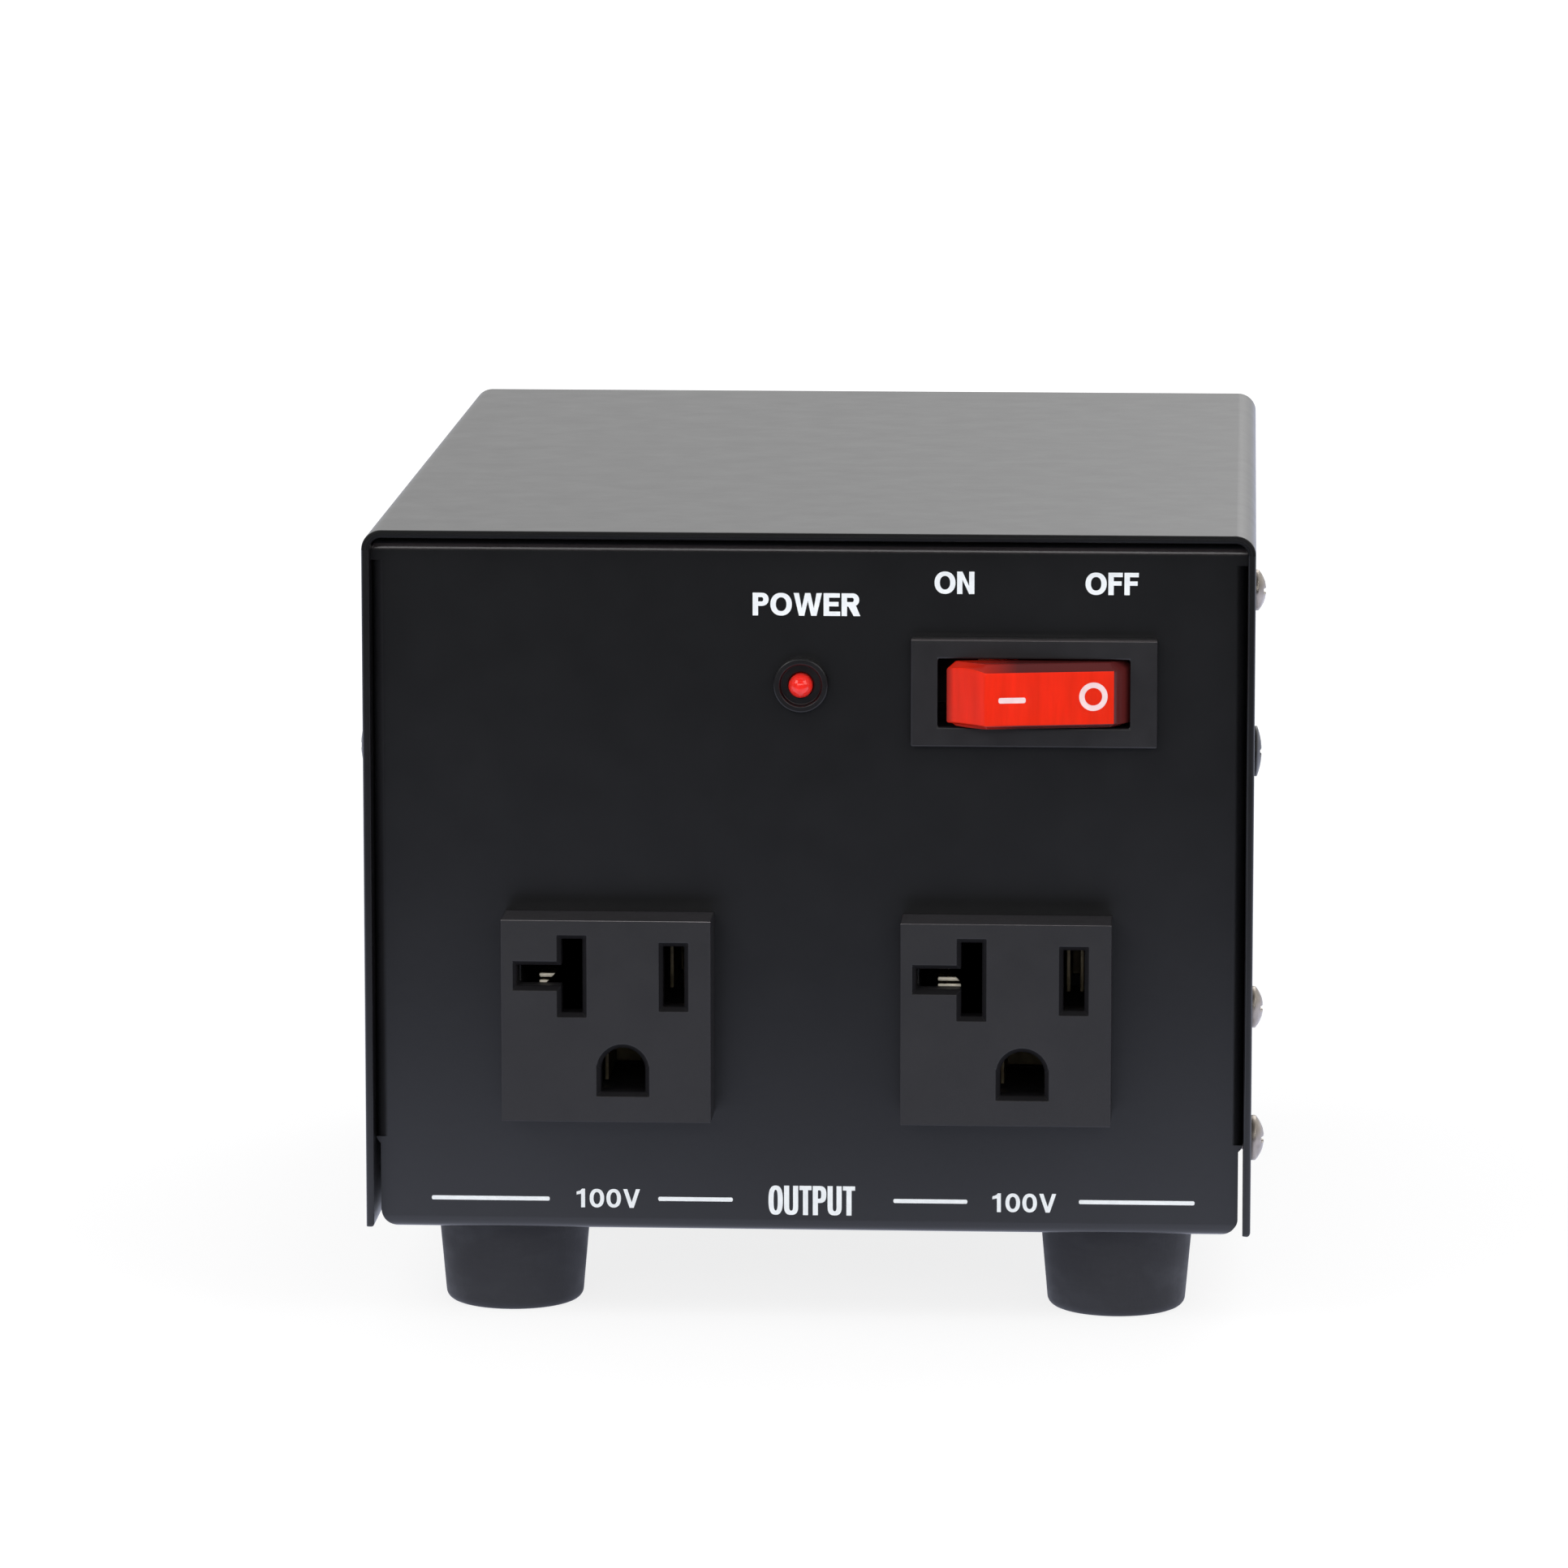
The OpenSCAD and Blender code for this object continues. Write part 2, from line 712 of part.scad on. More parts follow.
module outlet_body(side) {
    color(moulding) in_place() translate([side * outlet_x, 0, outlet_z]) difference() {
        union() {
            block([-outlet_w / 2, outlet_face_y, -outlet_h / 2], [outlet_w / 2, panel_y, outlet_h / 2]);
            block([-outlet_neck_w / 2, panel_y - cut, -outlet_neck_h / 2],
                [outlet_neck_w / 2, outlet_rear_y, outlet_neck_h / 2]);
            both_sides() panel_clip(outlet_neck_w / 2, clip_h);
        }
        outlet_openings();
    }
}

module tab_slot(x, z) {
    translate([x, 0, z]) block([-tab_t / 2 - fit, outlet_rear_y - cut, -tab_w / 2 - fit],
        [tab_t / 2 + fit, outlet_rear_y + outlet_back_t + cut, tab_w / 2 + fit]);
}

module outlet_back(side) {
    color(moulding) in_place() translate([side * outlet_x, 0, outlet_z]) difference() {
        block([-outlet_neck_w / 2, outlet_rear_y, -outlet_neck_h / 2],
            [outlet_neck_w / 2, outlet_rear_y + outlet_back_t, outlet_neck_h / 2]);
        tab_slot(pattern_x + blade_pitch / 2, slot_z);
        tab_slot(pattern_x - blade_pitch / 2, slot_z);
        tab_slot(pattern_x, slot_z - ground_drop);
    }
}

// Two spring jaws joined by a web at the back, which carries a push-on tab
module blade_contact(gap, w) {
    half = gap / 2 + jaw_t;
    web_y = outlet_rear_y - jaw_t;
    for (side = [-1, 1]) translate([side * (gap / 2 + jaw_t / 2), 0, 0])
        block([-jaw_t / 2, jaw_y, -w / 2], [jaw_t / 2, outlet_rear_y, w / 2]);
    block([-half, web_y, -w / 2], [half, outlet_rear_y, w / 2]);
    block([-tab_t / 2, web_y, -tab_w / 2], [tab_t / 2, tab_end_y, tab_w / 2]);
}

module line_contacts() {
    color(brass) in_place() for (side = [-1, 1])
        translate([side * outlet_x + pattern_x + blade_pitch / 2, 0, outlet_z + slot_z]) blade_contact(jaw_gap, jaw_w);
}

module neutral_contacts() {
    root_x = -jaw_gap / 2 - jaw_t;
    color(brass) in_place() for (side = [-1, 1])
        translate([side * outlet_x + pattern_x - blade_pitch / 2, 0, outlet_z + slot_z]) {
            blade_contact(jaw_gap, jaw_w);
            for (leaf = [-1, 1]) translate([0, 0, leaf * (t_jaw_gap + jaw_t) / 2 - t_leaf_drop])
                block([root_x - t_jaw_len, leaf_y, -jaw_t / 2], [root_x + jaw_t / 2, outlet_rear_y - jaw_t, jaw_t / 2]);
            block([root_x - t_jaw_len, outlet_rear_y - 2 * jaw_t, -t_leaf_drop - t_jaw_gap / 2 - jaw_t],
                [root_x + jaw_t / 2, outlet_rear_y, -t_leaf_drop + t_jaw_gap / 2 + jaw_t]);
        }
}

module ground_contacts() {
    color(brass) in_place() for (side = [-1, 1])
        translate([side * outlet_x + pattern_x, 0, outlet_z + slot_z - ground_drop])
            blade_contact(ground_jaw_gap, tab_w);
}

// ROCKER SWITCH: a rocker on a cross pin drives a sprung plunger over a see-saw contact lever

module at_pivot() {
    translate([switch_x, pivot_y, switch_z]) children();
}

module switch_housing() {
    color(moulding) in_place() at_pivot() difference() {
        translate([0, -pivot_y, 0]) {
            block([-bezel_w / 2, panel_y - bezel_t, -bezel_h / 2], [bezel_w / 2, panel_y, bezel_h / 2]);
            block([-housing_w / 2, panel_y - cut, -housing_h / 2], [housing_w / 2, housing_rear_y, housing_h / 2]);
            both_sides() panel_clip(housing_w / 2, housing_h / 2);
        }
        along_z(-cavity_h / 2, cavity_h / 2) intersection() {
            circle(cavity_end_r);
            translate([-cavity_w / 2, -cavity_end_r]) square([cavity_w, cavity_end_r]);
        }
        block([-cavity_w / 2, -run_fit, -cavity_h / 2], [cavity_w / 2, cavity_end_y - pivot_y, cavity_h / 2]);
        rod_z(pivot_r + run_fit, -housing_h, housing_h);
        for (x = [0, contact_x]) translate([x, 0, 0])
            block([-tab_t / 2 - fit, 0, -tab_w / 2 - fit],
                [tab_t / 2 + fit, housing_rear_y - pivot_y + cut, tab_w / 2 + fit]);
    }
}

module rocker_outline_2d() {
    intersection() {
        circle(rocker_r);
        translate([-rocker_r, -rocker_face_d]) square([2 * rocker_r, rocker_face_d - rocker_skirt_y]);
    }
    translate([-rocker_stem_w / 2, -rocker_face_d + rocker_chamfer])
        square([rocker_stem_w, rocker_face_d - rocker_chamfer]);
    circle(rocker_hub_r + rocker_chamfer);
    translate([-plunger_boss_w / 2, 0]) square([plunger_boss_w, plunger_boss_len]);
}

// The rocker's edges are chamfered along its face and round its curved ends
module rocker() {
    half = cavity_h / 2 - fit;
    color(red) in_place() at_pivot() rotate([0, 0, rocker_tilt]) difference() {
        union() {
            intersection() {
                along_z(-half, half) rocker_outline_2d();
                rotate_extrude() polygon([
                    [0, -half], [rocker_r - rocker_chamfer, -half], [rocker_r, -half + rocker_chamfer],
                    [rocker_r, half - rocker_chamfer], [rocker_r - rocker_chamfer, half], [0, half]]);
                along_x(-rocker_r, rocker_r) polygon([
                    [-rocker_face_d, -half + rocker_chamfer], [-rocker_face_d, half - rocker_chamfer],
                    [-rocker_face_d + rocker_chamfer, half], [plunger_boss_len, half],
                    [plunger_boss_len, -half], [-rocker_face_d + rocker_chamfer, -half]]);
            }
            rod_z(pivot_r, -housing_h / 2 + fit, housing_h / 2 - fit);
        }
        rod_y(plunger_r + run_fit, plunger_boss_len - plunger_bore_len, plunger_boss_len + cut);
    }
}

module switch_plunger() {
    color(steel) in_place() at_pivot() rotate([0, 0, rocker_tilt]) {
        rod_y(plunger_r, plunger_boss_len - plunger_bore_len, plunger_reach - plunger_r);
        translate([0, plunger_reach - plunger_r, 0]) sphere(plunger_r);
    }
}

// A flat lever with a round knuckle under its middle
module switch_lever() {
    color(brass) in_place() at_pivot() translate([0, lever_y, 0]) rotate([0, 0, -lever_tilt]) {
        block([-lever_len / 2, -lever_t / 2, -lever_w / 2], [lever_len / 2, lever_t / 2, lever_w / 2]);
        intersection() {
            rod_z(knuckle_r, -lever_w / 2, lever_w / 2);
            block([-knuckle_r, 0, -lever_w], [knuckle_r, knuckle_r, lever_w]);
        }
    }
}

// The centre terminal ends in the cradle of the lever's knuckle, and the other in the contact that the lever closes
module switch_terminals() {
    cradle_y = lever_y + lever_t / 2 + lever_gap;
    contact_y = lever_y + contact_x * sin(lever_tilt) + lever_t / 2 + lever_gap;
    floor_y = cavity_end_y - pivot_y;
    end_y = terminal_end_y - pivot_y;
    color(brass) in_place() at_pivot() {
        difference() {
            union() {
                block([-fulcrum_w / 2, cradle_y, -tab_w / 2], [fulcrum_w / 2, floor_y, tab_w / 2]);
                block([-tab_t / 2, (cradle_y + floor_y) / 2, -tab_w / 2], [tab_t / 2, end_y, tab_w / 2]);
            }
            translate([0, lever_y, 0]) rod_z(knuckle_r + run_fit, -tab_w, tab_w);
        }
        translate([contact_x, 0, 0]) {
            block([-contact_len / 2, contact_y, -tab_w / 2], [contact_len / 2, contact_y + tab_t, tab_w / 2]);
            block([-tab_t / 2, contact_y, -tab_w / 2], [tab_t / 2, end_y, tab_w / 2]);
        }
    }
}

// PILOT LAMP

module at_lamp() {
    translate([lamp_x, 0, lamp_z]) children();
}

module lamp_holder() {
    face_y = panel_y - lamp_proud;
    color(moulding) in_place() at_lamp() difference() {
        union() {
            rod_y(lamp_rim_r, face_y, panel_y);
            rod_y(lamp_barrel_r, face_y, panel_y + lamp_barrel_len);
        }
        rod_y(lamp_recess_r, face_y - cut, face_y + lamp_recess);
        rod_y(lens_r + thread_fit, face_y - cut, panel_y + lamp_barrel_len - led_flange_t);
        rod_y(led_flange_r + thread_fit, led_flange_y(), panel_y + lamp_barrel_len + cut);
    }
}

// The lens stands as far out of its recess as the holder's rim does
function led_flange_y() = panel_y - lamp_proud + led_body_len - lens_r;

module lamp_led() {
    flange_y = led_flange_y();
    dome_y = flange_y - led_body_len + lens_r;
    color(red) in_place() at_lamp() {
        rod_y(lens_r, dome_y, flange_y);
        translate([0, dome_y, 0]) sphere(lens_r);
        rod_y(led_flange_r, flange_y, flange_y + led_flange_t);
        for (end = [-1, 1]) translate([end * led_lead_pitch / 2, 0, 0])
            block([-led_lead_w / 2, flange_y, -led_lead_w / 2],
                [led_lead_w / 2, flange_y + led_lead_len, led_lead_w / 2]);
    }
}

module lamp_ring() {
    ring_y = panel_y + chassis_t;
    color(moulding) in_place() at_lamp() difference() {
        rod_y(lamp_barrel_r + lamp_ring_w, ring_y, ring_y + lamp_ring_t);
        rod_y(lamp_barrel_r + thread_fit, ring_y - cut, ring_y + lamp_ring_t + cut);
    }
}

// TRANSFORMER

module at_core_bolts() {
    for (x = [-core_w / 2 + bolt_inset, core_w / 2 - bolt_inset], z = [bolt_inset, core_h - bolt_inset])
        translate([x, 0, core_z0 + z]) children();
}

module core_bolt_holes() {
    at_core_bolts() rod_y(core_bolt_r + fit, core_front_y - clamp_t - cut, core_rear_y + clamp_t + cut);
}

module core_e_stack() {
    color(steel) in_place() difference() {
        block([-core_w / 2, core_front_y, core_z0], [core_w / 2, core_rear_y, core_z0 + core_leg + window_h]);
        both_sides() block([centre_leg_w / 2, core_front_y - cut, core_z0 + core_leg],
            [centre_leg_w / 2 + window_w, core_rear_y + cut, core_z0 + core_h]);
        core_bolt_holes();
    }
}

module core_i_stack() {
    color(steel) in_place() difference() {
        block([-core_w / 2, core_front_y, core_z0 + core_leg + window_h],
            [core_w / 2, core_rear_y, core_z0 + core_h]);
        core_bolt_holes();
    }
}

// A rectangle round the centre leg, grown by a distance on every side
module leg_outline_2d(grow, r) {
    half = [centre_leg_w / 2 + grow, core_stack / 2 + grow];
    translate([0, core_y]) round_box_2d(-half, half, r);
}

module leg_sleeve(grow, t, from_z, to_z) {
    along_z(from_z, to_z) difference() {
        leg_outline_2d(grow + t, bobbin_corner_r + grow + t);
        leg_outline_2d(grow, bobbin_corner_r + grow);
    }
}

module bobbin() {
    color([0.9, 0.88, 0.8]) in_place() difference() {
        union() {
            leg_sleeve(bobbin_clear, bobbin_t, bobbin_z0, bobbin_z1);
            for (z = [bobbin_z0, bobbin_z1 - bobbin_flange_t])
                along_z(z, z + bobbin_flange_t) leg_outline_2d(coil_reach, bobbin_corner_r);
        }
        half = [centre_leg_w / 2 + bobbin_clear, core_stack / 2 + bobbin_clear];
        block([-half[0], core_y - half[1], 0], [half[0], core_y + half[1], core_h]);
    }
}

winding_z0 = bobbin_z0 + bobbin_flange_t + layer_gap;
winding_z1 = bobbin_z1 - bobbin_flange_t - layer_gap;
primary_grow = bobbin_clear + bobbin_t + layer_gap;
secondary_grow = primary_grow + primary_t + layer_gap;
tape_grow = secondary_grow + secondary_t + layer_gap;

module primary_winding() {
    color([0.72, 0.42, 0.22]) in_place() leg_sleeve(primary_grow, primary_t, winding_z0, winding_z1);
}

module secondary_winding() {
    color([0.78, 0.46, 0.24]) in_place() leg_sleeve(secondary_grow, secondary_t, winding_z0, winding_z1);
}

module winding_tape() {
    color([0.86, 0.74, 0.2]) in_place() leg_sleeve(tape_grow, tape_t, winding_z0, winding_z1);
}

// The cut-off lies on the tape at the front of the coil
tape_front_y = core_front_y - tape_grow - tape_t;
tape_rear_y = core_rear_y + tape_grow + tape_t;
cutoff_z = (winding_z0 + winding_z1) / 2;

module thermal_cutoff() {
    half = cutoff_size / 2;
    color([0.85, 0.85, 0.82]) in_place() translate([0, tape_front_y - half[1], cutoff_z]) block(-half, half);
}

module at_clamp_screws() {
    for (x = [-clamp_screw_x, clamp_screw_x], y = [core_front_y - clamp_t - clamp_screw_in, core_rear_y + clamp_t + clamp_screw_in])
        translate([x, y, 0]) children();
}

// An angle that bolts to the lower yoke and stands on the floor, drawn for the rear
module clamp_angle() {
    along_x(-core_w / 2, core_w / 2) difference() {
        translate([0, core_z0]) square([clamp_t + clamp_foot_len, clamp_leg_h]);
        translate([clamp_t, core_z0 + clamp_t]) {
            translate([clamp_bend_r, 0]) square([clamp_foot_len, clamp_leg_h]);
            translate([0, clamp_bend_r]) square([clamp_foot_len, clamp_leg_h]);
            translate([clamp_bend_r, clamp_bend_r]) circle(clamp_bend_r);
        }
    }
}

module clamp_holes() {
    core_bolt_holes();
    at_clamp_screws() rod_z(clamp_screw_r + fit, 0, core_leg);
}

module rear_clamp() {
    color(steel) in_place() difference() {
        translate([0, core_rear_y, 0]) clamp_angle();
        clamp_holes();
    }
}

module front_clamp() {
    color(steel) in_place() difference() {
        translate([0, core_front_y, 0]) mirror([0, 1, 0]) clamp_angle();
        clamp_holes();
    }
}

module top_straps() {
    strap_z = core_z0 + core_h - core_leg;
    color(steel) in_place() difference() {
        for (y = [core_front_y - clamp_t, core_rear_y])
            block([-core_w / 2, y, strap_z], [core_w / 2, y + clamp_t, strap_z + core_leg]);
        core_bolt_holes();
    }
}

module core_bolts() {
    front = core_front_y - clamp_t;
    rear = core_rear_y + clamp_t;
    color(nickel) in_place() at_core_bolts() {
        hex_y(core_nut_r, front - core_bolt_head_h, front);
        rod_y(core_bolt_r, front - core_bolt_head_h, rear + core_nut_h + nut_spare);
    }
}

module core_nuts() {
    rear = core_rear_y + clamp_t;
    color(nickel) in_place() at_core_bolts() difference() {
        hex_y(core_nut_r, rear, rear + core_nut_h);
        rod_y(core_bolt_r + thread_fit, rear - cut, rear + core_nut_h + cut);
    }
}

// The heads sit under the floor and the nuts on the clamps' feet
module clamp_screws() {
    color(steel) in_place() at_clamp_screws() {
        rod_z(foot_head_r, -foot_head_h, 0);
        rod_z(clamp_screw_r, -foot_head_h, chassis_t + clamp_t + nut_h + nut_spare);
    }
}

module clamp_nuts() {
    color(steel) in_place() at_clamp_screws() difference() {
        hex_z(nut_r, chassis_t + clamp_t, chassis_t + clamp_t + nut_h);
        rod_z(clamp_screw_r + thread_fit, 0, core_leg);
    }
}

// FUSE HOLDER

fuse_face_y = rear_y + fuse_flange_t;
fuse_inner_y = rear_y - fuse_barrel_len;
fuse_out_y = fuse_face_y - fuse_stem_len + fuse_socket_len;
fuse_in_y = fuse_out_y - fuse_len;

module at_fuse() {
    translate([fuse_x, 0, rear_row_z]) children();
}

module fuse_holder() {
    color(black) in_place() at_fuse() difference() {
        union() {
            rod_y(fuse_flange_r, rear_y, fuse_face_y);
            rod_y(fuse_barrel_r, fuse_inner_y, fuse_face_y);
        }
        rod_y(fuse_stem_r + fit, fuse_face_y - fuse_stem_len - fit, fuse_face_y + cut);
        rod_y(fuse_bore_r, fuse_in_y - fit, fuse_face_y);
        rod_y(fuse_r - fit, fuse_inner_y - cut, fuse_face_y);
        block([-tab_w / 2 - fit, fuse_inner_y + fuse_tab_inset, -fuse_barrel_r - cut],
            [tab_w / 2 + fit, fuse_inner_y + fuse_tab_inset + tab_t, -fuse_bore_r]);
    }
}

module fuse_holder_nut() {
    front = rear_y - chassis_t - fuse_nut_h;
    color(black) in_place() at_fuse() difference() {
        hex_y(fuse_nut_r, front, front + fuse_nut_h);
        rod_y(fuse_barrel_r + thread_fit, front - cut, front + fuse_nut_h + cut);
    }
}

// The end contact closes the barrel's inner end, and the side contact hangs below the barrel
module fuse_terminals() {
    color(brass) in_place() at_fuse() {
        rod_y(fuse_r - 2 * fit, fuse_inner_y - tab_t, fuse_in_y - fit);
        rod_y(fuse_barrel_r, fuse_inner_y - tab_t, fuse_inner_y);
        block([-tab_w / 2, fuse_inner_y - tab_len, -tab_t / 2], [tab_w / 2, fuse_inner_y, tab_t / 2]);
        block([-tab_w / 2, fuse_inner_y + fuse_tab_inset, -fuse_barrel_r - tab_len],
            [tab_w / 2, fuse_inner_y + fuse_tab_inset + tab_t, -fuse_bore_r - fit]);
    }
}

// The sleeve grips the cartridge's outer end, and its spigot carries the cap
module fuse_carrier() {
    stem_y = fuse_face_y - fuse_stem_len;
    color(brass) in_place() at_fuse() difference() {
        union() {
            rod_y(fuse_stem_r, stem_y, fuse_face_y);
            rod_y(fuse_spigot_r, stem_y, fuse_face_y + fuse_spigot_len);
        }
        rod_y(fuse_r + thread_fit, stem_y - cut, fuse_out_y);
    }
}

module fuse_cap() {
    knob_end_y = fuse_face_y + fuse_cap_len;
    color(black) in_place() at_fuse() difference() {
        rod_y(fuse_cap_r, fuse_face_y + fit, knob_end_y);
        rod_y(fuse_spigot_r + run_fit, fuse_face_y, fuse_face_y + fuse_spigot_len + fit);
        for (i = [0 : grip_count - 1]) rotate([0, i * 360 / grip_count, 0])
            translate([fuse_cap_r, 0, 0]) rod_y(grip_r, fuse_face_y, knob_end_y + cut);
        block([-fuse_cap_r, knob_end_y - coin_slot_w, -coin_slot_w / 2], [fuse_cap_r, knob_end_y + cut, coin_slot_w / 2]);
    }
}

module fuse_glass() {
    color([0.85, 0.92, 0.94, 0.5]) in_place() at_fuse()
        rod_y(fuse_glass_r, fuse_in_y + coin_slot_w, fuse_out_y - coin_slot_w);
}

module fuse_end_caps() {
    color(nickel) in_place() at_fuse() for (y = [fuse_in_y, fuse_out_y - fuse_end_len]) difference() {
        rod_y(fuse_r, y, y + fuse_end_len);
        rod_y(fuse_glass_r + thread_fit, fuse_in_y + coin_slot_w, fuse_out_y - coin_slot_w);
    }
}

// CORD GLAND

module at_gland() {
    translate([-gland_x, 0, rear_row_z]) children();
}

gland_hex_end_y = rear_y + gland_hex_h;

module gland_body() {
    color(black) in_place() at_gland() difference() {
        union() {
            hex_y(gland_hex_r, rear_y, gland_hex_end_y);
            rod_y(gland_thread_r, rear_y - gland_thread_in, rear_y + cut);
            rod_y(gland_neck_r, rear_y, gland_hex_end_y + gland_neck_len);
        }
        rod_y(gland_way_r, rear_y - gland_thread_in - cut, gland_hex_end_y + gland_neck_len + cut);
    }
}

// Hexagon skirt and domed nose, bored for the neck and narrowed at the mouth
module gland_dome_nut() {
    end_y = gland_hex_end_y + gland_dome_len;
    skirt_y = gland_hex_end_y + gland_neck_len;
    rise = gland_dome_len - gland_neck_len;
    nose_r = gland_mouth_r + gland_seal_t;
    sink = (gland_hex_r * gland_hex_r - nose_r * nose_r - rise * rise) / (2 * rise);
    ball_r = norm([gland_hex_r, sink]);
    color(black) in_place() at_gland() difference() {
        intersection() {
            union() {
                hex_y(gland_hex_r, gland_hex_end_y + fit, skirt_y);
                rod_y(gland_dome_r, gland_hex_end_y + fit, end_y);
            }
            translate([0, skirt_y - sink, 0]) sphere(ball_r);
            rod_y(gland_hex_r, gland_hex_end_y, end_y);
        }
        rod_y(gland_neck_r + thread_fit, gland_hex_end_y, skirt_y + fit);
        rod_y(gland_mouth_r, skirt_y, end_y + cut);
    }
}

module gland_lock_nut() {
    inner_y = rear_y - chassis_t;
    color(black) in_place() at_gland() difference() {
        hex_y(gland_hex_r, inner_y - gland_lock_h, inner_y);
        rod_y(gland_thread_r + thread_fit, inner_y - gland_lock_h - cut, inner_y + cut);
    }
}

module gland_seal() {
    color(rubber) in_place() at_gland() difference() {
        rod_y(gland_bore_r + gland_seal_t, gland_hex_end_y - fit, gland_hex_end_y + gland_neck_len);
        rod_y(gland_bore_r, gland_hex_end_y - cut, gland_hex_end_y + gland_neck_len + cut);
    }
}

// EARTH STUD

module at_stud() {
    translate([stud_x, rear_y - stud_in, 0]) children();
}

module earth_stud() {
    color(nickel) in_place() at_stud() {
        rod_z(stud_head_r, -stud_head_h, 0);
        rod_z(stud_r, -stud_head_h, stud_len);
    }
}

module earth_nuts() {
    upper_z = chassis_t + nut_h + lug_t;
    color(nickel) in_place() at_stud() for (z = [chassis_t, upper_z]) difference() {
        hex_z(nut_r, z, z + nut_h);
        rod_z(stud_r + thread_fit, z - cut, z + nut_h + cut);
    }
}

// TERMINAL STRIP

module at_strip() {
    translate([strip_x, strip_y, chassis_t]) children();
}

module at_strip_screws() {
    for (end = [-1, 1]) translate([strip_x + end * strip_fix_x, strip_y, 0]) children();
}

module at_poles() {
    at_strip() for (i = [0 : strip_poles - 1]) translate([(i - (strip_poles - 1) / 2) * strip_pitch, 0, 0]) children();
}

module terminal_strip() {
    step_h = strip_h - strip_wire_z;
    color([0.88, 0.88, 0.84]) in_place() difference() {
        at_strip() {
            block([-strip_w / 2, -strip_d / 2, 0], [strip_w / 2, strip_d / 2, strip_wire_z]);
            block([-strip_poles * strip_pitch / 2, -strip_d / 2, 0], [strip_poles * strip_pitch / 2, strip_d / 2, strip_h]);
        }
        at_poles() translate([0, 0, strip_wire_z]) {
            rod_y(strip_insert_r + thread_fit, -strip_d, strip_d);
            rod_z(strip_well_r, 0, step_h + cut);
        }
        at_strip_screws() rod_z(strip_screw_r + fit, 0, strip_h);
    }
}

module strip_inserts() {
    color(brass) in_place() at_poles() translate([0, 0, strip_wire_z]) difference() {
        rod_y(strip_insert_r, -strip_d / 2, strip_d / 2);
        rod_y(strip_wire_r, -strip_d, strip_d);
        rod_z(strip_screw_r, 0, strip_h);
    }
}

module strip_screws() {
    color(steel) in_place() {
        at_strip_screws() {
            rod_z(strip_screw_r + strip_screw_r / 2, chassis_t + strip_wire_z, chassis_t + strip_wire_z + strip_screw_r);
            rod_z(strip_screw_r, -strip_screw_r, chassis_t + strip_wire_z + strip_screw_r);
        }
        at_poles() translate([0, 0, strip_wire_z]) rod_z(strip_screw_r - thread_fit, strip_screw_r / 2, strip_h / 2);
    }
}

// INTERNAL LEADS

lead_r = 1.1;
lamp_lead_r = 0.6;
lead_sides = 8;
straight = 3.5;

function unit(v) = v / norm(v);

function direction(path, i) = unit(path[min(i + 1, len(path) - 1)] - path[max(i - 1, 0)]);

function square_to(v) = unit(cross(v, abs(v[2]) < 0.9 ? [0, 0, 1] : [1, 0, 0]));

// A direction across the path at each point, carried along it without twisting
function sideways(path) = [
    for (i = 0, side = square_to(direction(path, 0)); i < len(path);
        i = i + 1,
        side = i < len(path) ? unit(side - direction(path, i) * (direction(path, i) * side)) : side) side];

// A closed tube along a path, as triangles
module lead(path, r = lead_r) {
    n = lead_sides;
    sides = sideways(path);
    points = [for (i = [0 : len(path) - 1], j = [0 : n - 1])
        path[i] + r * (cos(360 * j / n) * sides[i] + sin(360 * j / n) * cross(direction(path, i), sides[i]))];
    walls = [for (i = [0 : len(path) - 2], j = [0 : n - 1]) each [
        [i * n + j, (i + 1) * n + j, (i + 1) * n + (j + 1) % n],
        [i * n + j, (i + 1) * n + (j + 1) % n, i * n + (j + 1) % n]]];
    first = [for (j = [0 : n - 1]) j];
    last = [for (j = [0 : n - 1]) (len(path) - 1) * n + n - 1 - j];
    polyhedron(points, concat([first], walls, [last]));
}

// Where leads end: the tip of a tab or the face of a winding, and a point straight out from it
blade_tip_z = outlet_z + slot_z;
ground_tip_z = blade_tip_z - ground_drop;
strip_front_y = strip_y - strip_d / 2;
strip_tip_z = chassis_t + strip_wire_z;
fuse_side_tip = [fuse_x, fuse_inner_y + fuse_tab_inset + tab_t / 2, rear_row_z - fuse_barrel_r - tab_len];
fuse_end_tip = [fuse_x, fuse_inner_y - tab_len, rear_row_z];
switch_common_tip = [switch_x, terminal_end_y, switch_z];
switch_out_tip = [switch_x + contact_x, terminal_end_y, switch_z];

function pole_tip(side) = [strip_x + side * strip_pitch / 2, strip_front_y, strip_tip_z];

function line_tip(side) = [side * outlet_x + pattern_x + blade_pitch / 2, tab_end_y, blade_tip_z];

function neutral_tip(side) = [side * outlet_x + pattern_x - blade_pitch / 2, tab_end_y, blade_tip_z];

function ground_tip(side, z) = [side * outlet_x + pattern_x, tab_end_y, ground_tip_z + z];

function behind(p) = p + [0, straight, 0];

function before(p) = p - [0, straight, 0];

